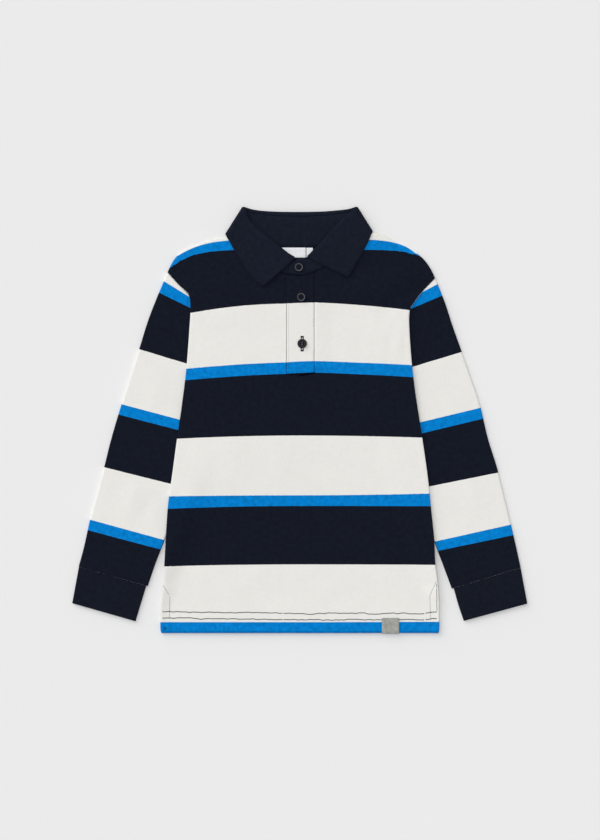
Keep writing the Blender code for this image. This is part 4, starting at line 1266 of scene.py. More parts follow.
@dataclass
class FlatTube:
    """A flattened tube of cloth: a sleeve or a cuff."""

    side: Side
    rows: tuple
    bend: Optional[tuple]
    radius: float
    wall: float
    folds: tuple
    across_steps: int
    steps: int
    side_turns: tuple = (15.0, 35.0, 55.0, 75.0, 90.0, 105.0, 125.0, 145.0, 165.0)
    rounding: float = 0.3
    wave: tuple = (0.22, 34.0)
    deepest_crease: float = -0.6

    def lines(self) -> list[tuple[Vector, Vector]]:
        """Outer and inner ends of each ring, smoothly between the rows."""
        outer = resample([Vector((r.outer_x, r.outer_y, 0.0)) for r in self.rows], self.steps)
        inner = resample([Vector((r.inner_x, r.inner_y, 0.0)) for r in self.rows], self.steps)
        return list(zip(outer, inner))

    def across_line(self, number: int, outer: Vector, inner: Vector) -> list[Vector]:
        """Points across the tube, bent at the seam end as the seam is.

        Args:
            number: The ring's number, from the seam.
            outer: Its outer end.
            inner: Its inner end.

        Returns:
            Points from the outer end to the inner one.
        """
        keep = 0.0
        if self.bend:
            keep = SmoothLine(((0.0, 1.0), (1.0, 0.2), (2.0, 0.0))).at(number / self.steps)
        line = []
        for index in range(self.across_steps + 1):
            share = index / self.across_steps
            point = blend(outer, inner, share)
            if keep:
                seam = [Vector((*place, 0.0)) for place in self.bend]
                place = share * (len(seam) - 1)
                low = min(int(place), len(seam) - 2)
                on_seam = blend(seam[low], seam[low + 1], place - low)
                point = point + (on_seam - blend(seam[0], seam[-1], share)) * keep
            line.append(point)
        return line

    def ring(self, line: list[Vector], offset: float) -> list[Vector]:
        """Closed ring round the tube.

        Args:
            line: Points across the tube.
            offset: How far out from the cloth's middle surface the ring lies.

        Returns:
            Points over the top, round the inner fold, back beneath and round the outer.
        """
        middle = self.wall / 2 + self.radius
        reach = self.radius + offset
        to_inner = (line[1] - line[0]).normalized()
        to_outer = (line[-2] - line[-1]).normalized()
        start = line[0] + to_inner * middle
        end = line[-1] + to_outer * middle
        places = [start] + line[1:-1] + [end]
        ring = []
        for index, place in enumerate(places):
            share = math.sin(math.pi * index / (len(places) - 1))
            creases = folds_rise(self.folds, place.x, place.y)
            creases += self.wave[0] * drift(place.x, place.y, self.wave[1], 5.0)
            rise = max(
                self.rounding * share + creases * min(share * 3.0, 1.0), self.deepest_crease
            )
            ring.append(Vector((place.x, place.y, middle + reach + rise)))
        for turn in self.side_turns:
            angle = math.radians(turn)
            spot = end - to_outer * reach * math.sin(angle)
            ring.append(Vector((spot.x, spot.y, middle + reach * math.cos(angle))))
        ring += [Vector((place.x, place.y, middle - reach)) for place in reversed(places)]
        for turn in reversed(self.side_turns):
            angle = math.radians(turn)
            spot = start - to_inner * reach * math.sin(angle)
            ring.append(Vector((spot.x, spot.y, middle + reach * math.cos(angle))))
        return ring + [ring[0].copy()]

    def skin(self, offset: float) -> bmesh.types.BMesh:
        """Grid of one skin of the wall."""
        rows = []
        along = 0.0
        before = None
        for number, (outer, inner) in enumerate(self.lines()):
            centre = blend(outer, inner, 0.5)
            along -= (centre - before).length if before else 0.0
            before = centre
            direction = (inner - outer).normalized()
            points = []
            for place in self.ring(self.across_line(number, outer, inner), offset):
                stripe = sleeve_stripe(self.side, place.x, place.y)
                over = (place - outer).dot(direction)
                points.append(ClothPoint(place, (over, stripe), (over, along)))
            rows.append(points)
        return cloth_grid(list(reversed(rows)))

    def mesh(self) -> bmesh.types.BMesh:
        """The whole wall, open at both ends."""
        return walled_tube(self.skin(self.wall / 2), self.skin(-self.wall / 2))

    def top_point(self, down: float, share: float) -> Vector:
        """Place on the tube's upper face.

        Args:
            down: Share of the way from the first row to the last.
            share: Share of the way from the outer fold to the inner one.

        Returns:
            The point on the cloth's upper face.
        """
        lines = self.lines()
        number = min(int(down * (len(lines) - 1)), len(lines) - 2)
        rest = down * (len(lines) - 1) - number
        spots = []
        for index in (number, number + 1):
            ring = self.ring(self.across_line(index, *lines[index]), self.wall / 2)
            place = share * self.across_steps
            low = min(int(place), self.across_steps - 1)
            spots.append(blend(ring[low], ring[low + 1], place - low))
        return blend(spots[0], spots[1], rest)


@dataclass
class Sleeve:
    """One sleeve with its cuff."""

    side: Side

    def __post_init__(self) -> None:
        """Set out the two tubes."""
        self.arm = FlatTube(
            self.side, SLEEVE[self.side], ARMHOLE_SEAM[self.side], 1.3, JERSEY,
            SLEEVE_CREASES[self.side], 30, 8,
        )
        self.band = FlatTube(
            self.side, CUFF[self.side], None, 1.1, CUFF_CLOTH, CUFF_CREASES[self.side], 24, 12,
        )

    def build(self, wardrobe: Wardrobe) -> list[bpy.types.Object]:
        """Make the sleeve and the cuff and dress them."""
        name = self.side.value
        arm = make_piece(f"sleeve_{name}_shell", self.arm.mesh(), wardrobe.striped)
        attach(arm, f"sleeve_{name}", "striped_jersey")
        band = make_piece(f"cuff_{name}_shell", self.band.mesh(), wardrobe.cuff)
        attach(band, f"cuff_{name}", "navy_jersey")
        return [arm, band]


class CollarRow(NamedTuple):
    """One row of the collar: the stand's seam, the roll, and the leaf's edge."""

    name: str
    seam_x: float
    seam_z: float
    roll_x: float
    roll_y: float
    roll_z: float
    radius: float
    edge_x: Optional[float]
    edge_y: Optional[float]
    trim: float


COLLAR_FRONT_LEFT = (
    CollarRow("under_end", 10.8, 5.2, 10.8, 189.6, 5.6, 0.0, None, None, 0.0),
    CollarRow("under_middle", 0.0, 5.2, 1.2, 191.4, 5.8, 0.0, None, None, 0.0),
    CollarRow("left_front_edge", -8.4, 5.2, -6.4, 195.4, 6.1, 1.85, -44.0, 159.4, 0.0),
    CollarRow("left_1", -19.2, 5.3, -13.6, 199.8, 6.4, 1.6, -53.3, 167.3, 0.0),
    CollarRow("left_2", -38.4, 5.6, -26.4, 210.0, 6.6, 1.35, -63.4, 179.3, 0.0),
    CollarRow("left_3", -49.8, 5.6, -40.4, 221.4, 6.4, 1.25, -71.2, 192.0, 0.0),
    CollarRow("left_4", -60.0, 5.6, -54.0, 233.0, 6.0, 1.2, -78.2, 202.5, 0.0),
    CollarRow("left_5", -67.0, 5.6, -62.6, 243.6, 5.7, 1.2, -84.4, 213.6, 0.0),
)
COLLAR_BACK = (
    CollarRow("back_1", -64.0, 3.2, -57.5, 252.7, 3.4, 1.3, -68.4, 224.4, 0.0),
    CollarRow("back_2", -51.0, 3.0, -44.0, 250.8, 4.2, 1.7, -50.4, 215.0, 0.0),
    CollarRow("back_3", -28.0, 2.9, -23.0, 249.7, 6.0, 2.6, -24.0, 208.8, 0.0),
    CollarRow("back_4", 0.0, 2.9, 0.0, 249.5, 6.8, 3.0, 0.0, 207.2, 0.0),
    CollarRow("back_5", 28.0, 2.9, 23.0, 249.9, 6.0, 2.6, 24.0, 209.2, 0.0),
    CollarRow("back_6", 53.0, 3.0, 44.0, 251.4, 4.2, 1.7, 50.4, 216.6, 0.0),
    CollarRow("back_7", 66.5, 3.2, 57.5, 253.0, 3.4, 1.3, 69.0, 225.0, 0.0),
)
COLLAR_FRONT_RIGHT = (
    CollarRow("right_5", 66.6, 5.6, 60.2, 248.6, 5.7, 1.2, 82.6, 215.4, 0.0),
    CollarRow("right_4", 58.8, 5.6, 48.5, 238.6, 6.0, 1.25, 76.7, 204.0, 0.0),
    CollarRow("right_3", 48.0, 5.8, 37.0, 226.2, 6.4, 1.3, 71.4, 193.8, 0.0),
    CollarRow("right_2", 36.0, 6.1, 24.0, 212.0, 7.0, 1.3, 66.0, 184.7, 0.0),
    CollarRow("right_1", 24.0, 6.6, 13.8, 201.6, 7.5, 1.25, 61.8, 177.0, 0.0),
    CollarRow("right_front_edge", 15.0, 7.0, 8.8, 196.6, 7.8, 1.2, 58.0, 170.6, 0.0),
    CollarRow("flap_middle", 3.6, 7.3, 1.2, 194.5, 7.9, 0.0, None, None, 0.0),
    CollarRow("flap_near_end", -7.6, 7.3, -7.0, 190.4, 7.9, 0.0, None, None, 0.2),
    CollarRow("flap_round", -11.6, 7.3, -11.2, 188.6, 7.9, 0.0, None, None, 1.0),
    CollarRow("flap_end", -13.4, 7.3, -13.2, 187.0, 7.8, 0.0, None, None, 3.4),
)


class SideFold(NamedTuple):
    """Where the collar folds over at one side: the stand's fold line, and the leaf's."""

    seam: tuple[float, float]
    base: tuple[float, float]
    bulge: tuple[float, float]
    inward: tuple[float, float]


COLLAR_FOLD = {
    Side.LEFT: SideFold((-72.2, 222.8), (-67.1, 253.4), (-91.0, 221.4), (0.837, -0.545)),
    Side.RIGHT: SideFold((73.4, 222.8), (66.8, 253.4), (88.6, 224.6), (-0.837, -0.545)),
}


class CollarFrame(NamedTuple):
    """Where one collar section starts, rolls over and ends."""

    seam: Vector
    base: Vector
    away: Vector
    lean: Vector
    radius: float
    edge: Optional[Vector]
    trim: float
    on_front: bool


@dataclass
class Collar:
    """Neckband and turned-down leaf."""

    form: ShirtForm
    fold_turns: tuple = (90.0, 45.0, 0.0, -45.0, -90.0)
    fold_level: float = 4.4
    stand_fold_radius: float = 1.2
    leaf_separation: float = 1.2
    edge_fold_level: float = 3.9
    edge_fold_radius: float = 3.1
    corner_rounding: float = 2.3
    seam_gap: float = 0.6
    leaf_gap: float = 0.55
    roll_lead: float = 2.0
    roll_gap: float = 0.06
    roll_turns: tuple = (0.0, 30.0, 60.0, 90.0, 120.0, 150.0, 180.0)
    stand_shares: tuple = (0.0, 0.2, 0.4, 0.6, 0.8, 1.0)
    leaf_shares: tuple = (0.1, 0.22, 0.36, 0.52, 0.68, 0.84, 0.94, 1.0)
    least_square: float = 0.22
    deepest_crease: float = -0.25
    ripple: tuple = (0.12, 16.0)
    steps: int = 5

    def neck_seam(self, panel: Panel, x: float) -> Vector:
        """Point just off a panel's neck edge, square to the edge."""
        top = self.form.neckline[panel]
        along = Vector((1.0, top.at(x + 0.5) - top.at(x - 0.5), 0.0)).normalized()
        return Vector((x, top.at(x), 0.0)) + Vector((-along.y, along.x, 0.0)) * self.seam_gap

    def leaf_floor(self, point: Vector) -> float:
        """Lowest height of the leaf's middle surface over the front."""
        if not self.over_front(point):
            return TWILL / 2
        under = self.form.front_level(point.x, point.y)
        return under + JERSEY / 2 + self.leaf_gap + TWILL / 2

    def over_front(self, point: Vector) -> bool:
        """Whether a place is over the front panel."""
        left, right = (self.form.side_edge_x(side, point.y) for side in Side)
        inside = left < point.x < right
        return inside and point.y < self.form.top_y(Panel.FRONT, point.x)

    def row_frame(self, row: CollarRow, on_front: bool) -> CollarFrame:
        """Frame of one row of the tables.

        Args:
            row: The row.
            on_front: Whether the neckband there is sewn to the front panel.

        Returns:
            The frame.
        """
        seam = self.neck_seam(Panel.FRONT if on_front else Panel.BACK, row.seam_x)
        seam.z = row.seam_z
        roll = Vector((row.roll_x, row.roll_y, row.roll_z))
        away = Vector((roll.x - seam.x, roll.y - seam.y, 0.0)).normalized()
        has_leaf = row.edge_x is not None
        base = roll - away * (row.radius + TWILL / 2) if has_leaf else roll
        lean = Vector((0.0, 0.0, 1.0 if on_front else -1.0))
        edge = None
        if has_leaf:
            edge = Vector((row.edge_x, row.edge_y, TWILL / 2))
            if on_front:
                edge.z = self.leaf_floor(edge)
        return CollarFrame(seam, base, away, lean, row.radius, edge, row.trim, on_front)

    def fold_frame(self, side: Side, turn: float) -> CollarFrame:
        """Frame where the collar folds over at one side.

        Args:
            side: The side.
            turn: How far round the fold the frame is, in degrees.

        Returns:
            The frame.
        """
        fold = COLLAR_FOLD[side]
        angle = math.radians(turn)
        seam = Vector((*fold.seam, self.fold_level))
        base = Vector((*fold.base, self.fold_level))
        away = (base - seam).normalized()
        inward = Vector((away.y, -away.x, 0.0)) * side.inward
        lean = Vector((0.0, 0.0, math.sin(angle))) - inward * math.cos(angle)
        shift = (inward + lean) * self.stand_fold_radius
        edge = Vector((*fold.bulge, self.edge_fold_level))
        reach = TWILL / 2 + self.edge_fold_radius * (1.0 - math.cos(angle))
        edge += Vector((*fold.inward, 0.0)) * reach
        edge += (base - edge).normalized() * self.corner_rounding * math.cos(angle)
        edge.z += self.edge_fold_radius * math.sin(angle)
        return CollarFrame(
            seam + shift, base + shift, away, lean, self.leaf_separation, edge, 0.0, False
        )

    def frames(self) -> list[CollarFrame]:
        """Frames all round the neck, from the left end to the right end."""
        frames = [self.row_frame(row, True) for row in COLLAR_FRONT_LEFT]
        frames += [self.fold_frame(Side.LEFT, turn) for turn in self.fold_turns]
        frames += [self.row_frame(row, False) for row in COLLAR_BACK]
        frames += [self.fold_frame(Side.RIGHT, -turn) for turn in self.fold_turns]
        frames += [self.row_frame(row, True) for row in COLLAR_FRONT_RIGHT]
        return frames

    def stand_section(self, frames: list[CollarFrame], index: int) -> list[Vector]:
        """Section of the stand from the neck seam towards the roll.

        Args:
            frames: All frames of the collar.
            index: Which frame it is.

        Returns:
            Points from the seam up.
        """
        current = frames[index]
        before = frames[max(index - 1, 0)].base
        after = frames[min(index + 1, len(frames) - 1)].base
        square = current.away.cross((after - before).normalized()).length
        gap = self.roll_gap / max(square, self.least_square)
        low = current.seam + current.away * current.trim
        back_off = self.roll_lead + gap if current.edge else current.trim
        high = current.base - current.away * back_off
        return [blend(low, high, share) for share in self.stand_shares]

    def leaf_section(self, current: CollarFrame) -> list[Vector]:
        """Section of the leaf: over the roll and back to its edge."""
        points = [current.base - current.away * self.roll_lead]
        centre = current.base + current.lean * current.radius
        for turn in self.roll_turns:
            angle = math.radians(turn)
            arm = current.away * math.sin(angle) - current.lean * math.cos(angle)
            points.append(centre + arm * current.radius)
        start = points[-1]
        for share in self.leaf_shares:
            point = blend(start, current.edge, share)
            if current.on_front:
                point.z = max(point.z, self.leaf_floor(point))
            points.append(point)
        return points

    def fine_rows(self, sections: list[list[Vector]]) -> list[list[Vector]]:
        """Sections joined smoothly along the collar."""
        lines = [resample(list(line), self.steps) for line in zip(*sections)]
        return [list(row) for row in zip(*lines)]

    def settle(self, rows: list[list[Vector]]) -> None:
        """Keep the fine leaf above the front, and give it its creases."""
        first = len(self.roll_turns)
        lowest = self.edge_fold_level + self.edge_fold_radius * 0.2
        for row in rows:
            for index, point in enumerate(row[first:], first):
                if point.z <= lowest:
                    continue
                if self.over_front(point):
                    point.z = max(point.z, self.leaf_floor(point))
                rise = max(folds_rise(LEAF_CREASES, point.x, point.y), self.deepest_crease)
                rise += self.ripple[0] * drift(point.x, point.y, self.ripple[1], 7.0)
                point.z += smooth_step((index - first) / 3.0) * rise

    def cloth_rows(self, rows: list[list[Vector]]) -> list[list[ClothPoint]]:
        """Thread coordinates for fine rows of the collar."""
        made = []
        along = 0.0
        for index, row in enumerate(rows):
            if index:
                along += (row[0] - rows[index - 1][0]).length
            out = 0.0
            points = []
            for number, place in enumerate(row):
                if number:
                    out += (place - row[number - 1]).length
                points.append(ClothPoint(place, (along, out), (along, out)))
            made.append(points)
        return made

    def build(self, wardrobe: Wardrobe) -> list[bpy.types.Object]:
        """Make the neckband and the leaf and dress them."""
        frames = self.frames()
        sections = [self.stand_section(frames, index) for index in range(len(frames))]
        stand_rows = self.fine_rows(sections)
        leaf_rows = self.fine_rows([self.leaf_section(f) for f in frames if f.edge])
        self.settle(leaf_rows)
        stand = make_piece(
            "collar_stand_shell", cloth_grid(self.cloth_rows(stand_rows)), wardrobe.twill, TWILL
        )
        attach(stand, "collar_stand", "navy_twill")
        leaf = make_piece(
            "collar_leaf_shell", cloth_grid(self.cloth_rows(leaf_rows)), wardrobe.twill, TWILL
        )
        attach(leaf, "collar_leaf", "navy_twill")
        return [stand, leaf]


@dataclass
class Placket:
    """The strip over the slit, and the under strip in it."""

    form: ShirtForm
    steps_up: int = 60

    def strip(self, xs: Sequence[float], low_share: float, rise: float) -> list[list[ClothPoint]]:
        """Grid over the front, between the placket's end and the neckline.

        Args:
            xs: X of each column.
            low_share: Share of the way up the front at which the strip starts.
            rise: Height above the front's middle surface.

        Returns:
            Rows of cloth points.
        """
        rows = []
        for step in range(self.steps_up + 1):
            points = []
            for x in xs:
                top = self.form.neckline[Panel.FRONT].at(x) - 0.2
                y = blend(blend(HEM_Y, top, low_share), top, step / self.steps_up)
                level = self.form.front_level(x, y) + rise
                points.append(ClothPoint(Vector((x, y, level)), (x, body_stripe(x, y)), (x, y)))
            rows.append(points)
        return rows

    def build(self, wardrobe: Wardrobe) -> list[bpy.types.Object]:
        """Make both strips and dress them."""
        under_xs = [blend(*UNDER_STRIP_X, index / 10) for index in range(11)]
        under = make_piece(
            "placket_under_shell",
            cloth_grid(self.strip(under_xs, SLIT_END_SHARE + 0.001, 0.0)), wardrobe.striped, JERSEY,
        )
        attach(under, "placket_under", "striped_jersey")
        over_xs = [blend(*PLACKET_X, index / 14) for index in range(15)]
        over = make_piece(
            "placket_top_shell",
            cloth_grid(self.strip(over_xs, PLACKET_END_SHARE, JERSEY + SEAM_GAP)),
            wardrobe.striped, JERSEY,
        )
        attach(over, "placket_top", "striped_jersey")
        return [under, over]

    def top_level(self, x: float, y: float) -> float:
        """Height of the upper strip's upper face."""
        return self.form.front_level(x, y) + JERSEY + SEAM_GAP + JERSEY / 2


@dataclass
class Stitching:
    """Runs of stitches, each run one joined mesh of small rounded threads."""

    name: str
    finish: bpy.types.Material
    length: float = 2.3
    pitch: float = 3.0
    width: float = THREAD
    slot: str = "navy_jersey"

    def __post_init__(self) -> None:
        """Start with no stitches."""
        self.bm = bmesh.new()

    def stitch(self, start: Vector, end: Vector, width: Optional[float] = None) -> None:
        """Add one thread between two points.

        Args:
            start: One end.
            end: The other end.
            width: Its thickness, or the run's own.
        """
        width = width or self.width
        direction = end - start
        made = bmesh.ops.create_uvsphere(self.bm, u_segments=6, v_segments=4, radius=0.5)
        spin = direction.to_track_quat("Z", "Y").to_matrix().to_4x4()
        size = Matrix.Diagonal((width, width * 0.7, direction.length * 1.12, 1.0))
        place = Matrix.Translation((start + end) / 2.0) @ spin @ size
        bmesh.ops.transform(self.bm, matrix=place, verts=made["verts"])

    def run(self, path: Sequence[Vector]) -> None:
        """Add stitches along a line.

        Args:
            path: Points that lie on the cloth.
        """
        lengths = [0.0]
        for start, end in zip(path, path[1:]):
            lengths.append(lengths[-1] + (end - start).length)
        at = 0.4
        while at + self.length < lengths[-1]:
            ends = []
            for key in (at, at + self.length):
                index = min(bisect_right(lengths, key) - 1, len(path) - 2)
                share = (key - lengths[index]) / max(lengths[index + 1] - lengths[index], 1e-6)
                ends.append(blend(path[index], path[index + 1], share))
            self.stitch(*ends)
            at += self.pitch

    def build(self) -> bpy.types.Object:
        """Join the stitches into one piece."""
        piece = make_piece(self.name, self.bm, self.finish, sharp=180.0)
        return attach(piece, None, self.slot)


def surface_line(
    start: tuple[float, float],
    end: tuple[float, float],
    level: Callable[[float, float], float],
    sway: float = 0.0,
    seed: float = 0.0,
) -> list[Vector]:
    """Line of points on a cloth's upper face.

    Args:
        start: Where it starts, as X and Y.
        end: Where it ends.
        level: Height of the cloth's upper face at a place.
        sway: How far the line strays to each side.
        seed: Which way it strays.

    Returns:
        Points about a millimetre and a half apart.
    """
    first, last = Vector((*start, 0.0)), Vector((*end, 0.0))
    count = max(int((last - first).length / 1.5), 2)
    aside = Vector((-(last - first).y, (last - first).x, 0.0)).normalized()
    points = []
    for index in range(count + 1):
        point = blend(first, last, index / count)
        point += aside * sway * (
            0.5 * drift(point.x, point.y, 26.0, seed) + 0.6 * drift(point.x, point.y, 5.0, seed)
        )
        point.z = level(point.x, point.y) + THREAD * 0.25
        points.append(point)
    return points


@dataclass
class Sewing:
    """All the stitches that show."""

    form: ShirtForm
    wardrobe: Wardrobe
    placket: Placket
    sleeves: list
    hem_lines: tuple = ((-229.5, -231.8, -229.2), (-237.3, -239.3, -237.8))
    hem_stops: tuple = (-20.0, 150.0)
    hem_inset: float = 1.6
    back_hem_inset: float = 3.0
    corner_ends: tuple = ((4.0, -251.0), (5.8, -249.6), (4.4, -248.4))
    placket_top_y: float = 168.0
    placket_foot_y: float = 57.0
    right_runs: tuple = ((168.0, 142.0), (121.0, 111.0), (84.0, 72.0))
    box_rows: tuple = (58.0, 62.4)
    holes: tuple = ((1.3, 148.0, 5.6), (2.6, 91.4, 7.6))
    lip: tuple = (0.6, 1.9)
    lip_pitch: float = 0.55
    vent_paths: tuple = (
        ((-164.2, -198.0), (-156.0, -211.0), (-156.6, -240.0)),
        ((163.4, -193.0), (155.6, -210.0), (156.4, -240.0)),
        ((163.4, -196.0), (163.8, -229.0)),
        ((163.6, -197.0), (164.1, -229.0)),
    )

    def front_top(self, x: float, y: float) -> float:
        """Height of the front's upper face."""
        return self.form.front_level(x, y) + JERSEY / 2

    def back_under(self, x: float, y: float) -> float:
        """Height of the back's under face."""
        return self.form.back_level(x, y) - JERSEY / 2 + THREAD * 0.35

    def hem(self) -> bpy.types.Object:
        """Twin rows along the front's hem."""
        rows = Stitching(
            "hem_stitches", self.wardrobe.navy_thread, length=2.6, pitch=2.8, width=1.25
        )
        for number, (first, middle, last) in enumerate(self.hem_lines):
            left = self.form.side_edge_x(Side.LEFT, middle) + self.hem_inset
            right = self.form.side_edge_x(Side.RIGHT, middle) - self.hem_inset
            stops = [(left, first), *((x, middle) for x in self.hem_stops), (right, last)]
            for start, end in zip(stops, stops[1:]):
                rows.run(surface_line(start, end, self.front_top, 2.0, 11.0 + number))
        corner_x = self.form.side_edge_x(Side.LEFT, -250.0)
        for inset, y in self.corner_ends:
            x = corner_x + inset
            level = self.front_top(x, y) + 0.2
            rows.stitch(Vector((x - 1.4, y + 0.6, level)), Vector((x + 1.4, y - 0.8, level)), 0.9)
        return rows.build()

    def back_hem(self) -> bpy.types.Object:
        """Twin rows along the back's hem, on its under face."""
        rows = Stitching("back_hem_stitches", self.wardrobe.navy_thread)
        for number, (_, y, _) in enumerate(self.hem_lines):
            left = self.form.side_edge_x(Side.LEFT, y) + self.back_hem_inset
            right = self.form.side_edge_x(Side.RIGHT, y) - self.back_hem_inset
            rows.run(surface_line((left, y), (right, y), self.back_under, 0.9, 15.0 + number))
        return rows.build()

    def vents(self) -> bpy.types.Object:
        """Rows round the slit at the foot of each side seam."""
        rows = Stitching(
            "vent_stitches", self.wardrobe.navy_thread, length=1.8, pitch=2.3, width=0.5
        )
        for path in self.vent_paths:
            for start, end in zip(path, path[1:]):
                rows.run(surface_line(start, end, self.front_top, 0.3, 21.0))
        return rows.build()

    def placket_rows(self) -> list[bpy.types.Object]:
        """Rows down both edges of the placket, the box at its foot, and its dark edge."""
        level = self.placket.top_level
        left, right = PLACKET_X
        top, foot = self.placket_top_y, self.placket_foot_y
        edge = Stitching("placket_edge", self.wardrobe.navy_thread, length=2.2, pitch=2.6, width=0.6)
        edge.run(surface_line((left + 0.1, top - 2), (left + 0.1, foot), level, 0.15, 31.0))
        rows = Stitching(
            "placket_stitches", self.wardrobe.navy_thread, length=1.1, pitch=3.3, width=0.42
        )
        rows.run(surface_line((left + 2.6, top), (left + 2.6, foot), level, 0.6, 32.0))
        for high, low in self.right_runs:
            rows.run(surface_line((right - 1.6, high), (right - 1.6, low), level, 0.3, 33.0))
        for y in self.box_rows:
            rows.run(surface_line((left + 1.4, y), (right - 1.4, y), level, 0.4, 34.0 + y))
        return [edge.build(), rows.build()]

    def cuff_rows(self) -> bpy.types.Object:
        """A row beside each cuff's seam, on the cuff."""
        rows = Stitching(
            "cuff_stitches", self.wardrobe.navy_thread, length=2.0, pitch=2.8, width=0.45
        )
        for sleeve in self.sleeves:
            path = [sleeve.arm.top_point(0.985, 0.04 + 0.92 * i / 40) for i in range(41)]
            rows.run([point + Vector((0.0, 0.0, 0.1)) for point in path])
        return rows.build()

    def buttonholes(self) -> bpy.types.Object:
        """Worked buttonholes under the two placket buttons."""
        rows = Stitching("buttonhole_stitches", self.wardrobe.navy_thread, width=0.42)
        for x, y, half in self.holes:
            self.hole(rows, Vector((x, y, 0.0)), Vector((0.0, 1.0, 0.0)), half)
        return rows.build()

    def hole(self, rows: Stitching, centre: Vector, along: Vector, half: float) -> None:
        """Close-set threads along both lips of a slit, and a bar at each end.

        Args:
            rows: The run of stitches that they join.
            centre: Middle of the slit.
            along: Direction of the slit.
            half: Half of its length.
        """
        aside = Vector((along.y, -along.x, 0.0))
        level = self.placket.top_level
        count = int(2.0 * half / self.lip_pitch)
        inner, outer = self.lip
        for lip in (-1.0, 1.0):
            for index in range(count + 1):
                spot = centre + along * blend(-half, half, index / count)
                near, far = spot + aside * lip * inner, spot + aside * lip * outer
                near.z = far.z = level(spot.x, spot.y) + 0.12
                rows.stitch(near, far, 0.75)
        for end in (-1.0, 1.0):
            for step in range(4):
                spot = centre + along * end * (half + 0.1 + 0.4 * step)
                near, far = spot - aside * outer, spot + aside * outer
                near.z = far.z = level(spot.x, spot.y) + 0.2
                rows.stitch(near, far, 0.8)

    def build(self) -> list[bpy.types.Object]:
        """Make every run of stitches."""
        made = [self.hem(), self.back_hem(), self.vents()]
        made += [self.cuff_rows(), self.buttonholes()]
        return made + self.placket_rows()


@dataclass
class Buttons:
    """The three buttons, which keep their solids, and the thread that holds each."""

    wardrobe: Wardrobe
    tones: dict = field(default_factory=lambda: {
        "button_1": ((0.006, 0.0075, 0.014), (0.13, 0.135, 0.155)),
        "button_2": ((0.006, 0.0075, 0.014), (0.13, 0.135, 0.155)),
        "button_3": ((0.017, 0.017, 0.02), (0.05, 0.05, 0.055)),
    })
    hole_pitch: float = 1.45
    rim: float = 0.55

    def build(self) -> bpy.types.Object:
        """Dress the buttons and sew them on."""
        rows = Stitching(
            "button_threads", self.wardrobe.navy_thread, width=0.6, slot="button_plastic"
        )
        for name, tones in self.tones.items():
            low, high = (Vector(corner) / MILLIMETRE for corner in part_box(name))
            centre = (low + high) / 2.0
            finish = ButtonFinish(f"{name}_plastic", (centre.x, centre.y), *tones).build()
            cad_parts[name].data.materials.clear()
            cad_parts[name].data.materials.append(finish)
            reach = self.hole_pitch * math.cos(math.radians(45.0))
            level = high.z - self.rim
            for side in (-1.0, 1.0):
                for shift in (-0.25, 0.25):
                    x = centre.x + side * reach + shift
                    start = Vector((x, centre.y - reach, level))
                    end = Vector((x, centre.y + reach, level))
                    rows.stitch(start, end, 0.5)
            LOG.info("%s: dressed", name)
        return rows.build()


@dataclass
class Patches:
    """Neck label, the small tab beside it, and the tab on the hem, all bare."""

    form: ShirtForm
    wardrobe: Wardrobe
    band_level: float = 2.9
    band_ramp: float = 2.5
    band_slope: float = 0.05
    edge_rise: float = 0.12
    steps_over: int = 18
    steps_up: int = 16

    def neck_level(self, x: float, y: float) -> float:
        """Height of what the neck label lies on: the back, or the neckband behind it.

        Args:
            x: Place across the chest.
            y: Place up the body.

        Returns:
            The height of the upper face.
        """
        level = self.form.back_level(x, y) + JERSEY / 2
        seam_y = self.form.neckline[Panel.BACK].at(x)
        share = smooth_step((y - seam_y + self.band_ramp) / self.band_ramp)
        band = self.band_level + TWILL / 2
        return level + share * (band - level + (y - seam_y) * self.band_slope)

    def hem_level(self, x: float, y: float) -> float:
        """Height of what the hem tab lies on, which reaches a little past the hem."""
        return self.form.front_level(x, max(y, HEM_Y)) + JERSEY / 2

    def patch(
        self, box: tuple[float, float, float, float], level: Callable[[float, float], float]
    ) -> bmesh.types.BMesh:
        """Grid over a rectangle, given by its left, right, low and high edges.

        Args:
            box: The four edges.
            level: Height of what the patch lies on at a place.

        Returns:
            The cloth surface, a little higher inside its edges.
        """
        left, right, low, high = box
        columns, lines = self.steps_over, self.steps_up
        rows = []
        for up in range(lines + 1):
            points = []
            for over in range(columns + 1):
                x, y = blend(left, right, over / columns), blend(low, high, up / lines)
                inside = min(over, columns - over, up, lines - up) / 3.0
                rise = LABEL_CLOTH / 2 + SEAM_GAP + self.edge_rise * smooth_step(inside)
                place = Vector((x, y, level(x, y) + rise))
                points.append(ClothPoint(place, (x, y), (x, y)))
            rows.append(points)
        return cloth_grid(rows)

    def build(self) -> list[bpy.types.Object]:
        """Make the three patches and dress them."""
        made = []
        patches = (
            ("neck_label", (-25.0, 7.2, 194.6, 206.6), self.neck_level, "white_satin"),
            ("size_tab", (7.8, 15.4, 195.2, 206.4), self.neck_level, "white_satin"),
            ("hem_tab", (98.2, 118.8, -256.0, -237.2), self.hem_level, "grey_tape"),
        )
        for name, box, level, slot in patches:
            cloth = self.wardrobe.tape if slot == "grey_tape" else self.wardrobe.satin
            piece = make_piece(f"{name}_shell", self.patch(box, level), cloth, LABEL_CLOTH)
            made.append(attach(piece, name, slot))
        return made


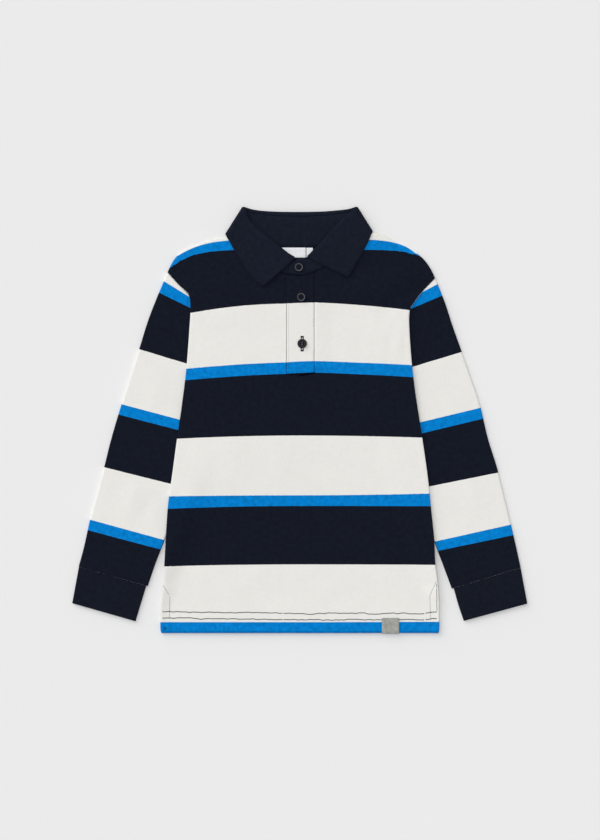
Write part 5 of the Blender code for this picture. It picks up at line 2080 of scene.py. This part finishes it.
@dataclass
class Studio:
    """Pale floor, soft light from the upper left, and the camera straight above."""

    floor_size: float = 12.0
    floor_colour: tuple = (0.83, 0.83, 0.83)
    top_share: float = 0.42
    top_turn: tuple = (6.0, 0.0, 228.0)
    top_softness: float = 30.0
    side_share: float = 0.22
    side_turn: tuple = (62.0, 0.0, 228.0)
    side_softness: float = 50.0
    height: float = 4.0
    view_height: float = 1.008

    def floor(self) -> bpy.types.Object:
        """The plain surface that the shirt lies on."""
        bm = bmesh.new()
        bmesh.ops.create_grid(bm, x_segments=1, y_segments=1, size=self.floor_size / 2)
        mesh = bpy.data.meshes.new("floor")
        bm.to_mesh(mesh)
        bm.free()
        shader = Shader("pale_floor")
        shader.surface.inputs["Base Color"].default_value = (*self.floor_colour, 1.0)
        shader.surface.inputs["Roughness"].default_value = 0.9
        shader.surface.inputs["Specular IOR Level"].default_value = 0.0
        mesh.materials.append(shader.material)
        floor = bpy.data.objects.new("floor", mesh)
        bpy.context.scene.collection.objects.link(floor)
        return floor

    def lamp(self, name: str, share: float, turn: Sequence[float], softness: float) -> None:
        """Add a distant lamp.

        Args:
            name: The lamp's name.
            share: Its share of the light that falls on the floor.
            turn: How it is turned, in degrees.
            softness: How wide its source looks, in degrees.
        """
        light = bpy.data.lights.new(name, "SUN")
        light.angle = math.radians(softness)
        light.energy = math.pi * share / math.cos(math.radians(turn[0]))
        lamp = bpy.data.objects.new(name, light)
        lamp.rotation_euler = [math.radians(angle) for angle in turn]
        lamp.location = (-1.0, 1.0, 2.0)
        bpy.context.scene.collection.objects.link(lamp)

    def lights(self) -> None:
        """An overhead lamp, a low one from the upper left, and an even surround."""
        world = bpy.data.worlds.new("studio")
        world.use_nodes = True
        surround = world.node_tree.nodes["Background"]
        surround.inputs["Color"].default_value = (1.0, 1.0, 1.0, 1.0)
        surround.inputs["Strength"].default_value = 1.0 - self.top_share - self.side_share
        bpy.context.scene.world = world
        self.lamp("top", self.top_share, self.top_turn, self.top_softness)
        self.lamp("side", self.side_share, self.side_turn, self.side_softness)

    def camera(self) -> None:
        """Long lens straight above the middle of the shirt."""
        lens = bpy.data.cameras.new("camera")
        lens.sensor_fit = "VERTICAL"
        lens.sensor_height = 24.0
        lens.lens = lens.sensor_height * self.height / self.view_height
        lens.clip_end = 50.0
        camera = bpy.data.objects.new("camera", lens)
        camera.location = (0.0, 0.0, self.height)
        bpy.context.scene.collection.objects.link(camera)
        bpy.context.scene.camera = camera

    def build(self) -> None:
        """Set up the studio."""
        self.floor()
        self.lights()
        self.camera()
        bpy.context.scene.view_settings.view_transform = "Standard"


def main() -> None:
    """Build the studio and every piece of the shirt, in order."""
    logging.basicConfig(level=logging.INFO, format="%(message)s")
    Studio().build()
    form = ShirtForm()
    wardrobe = Wardrobe()
    for panel in (Panel.BACK, Panel.FRONT):
        BodyPanel(form, panel).build(wardrobe)
    sleeves = [Sleeve(side) for side in Side]
    for sleeve in sleeves:
        sleeve.build(wardrobe)
    Collar(form).build(wardrobe)
    placket = Placket(form)
    placket.build(wardrobe)
    Buttons(wardrobe).build()
    Patches(form, wardrobe).build()
    Sewing(form, wardrobe, placket, sleeves).build()


if __name__ == "__main__":
    main()
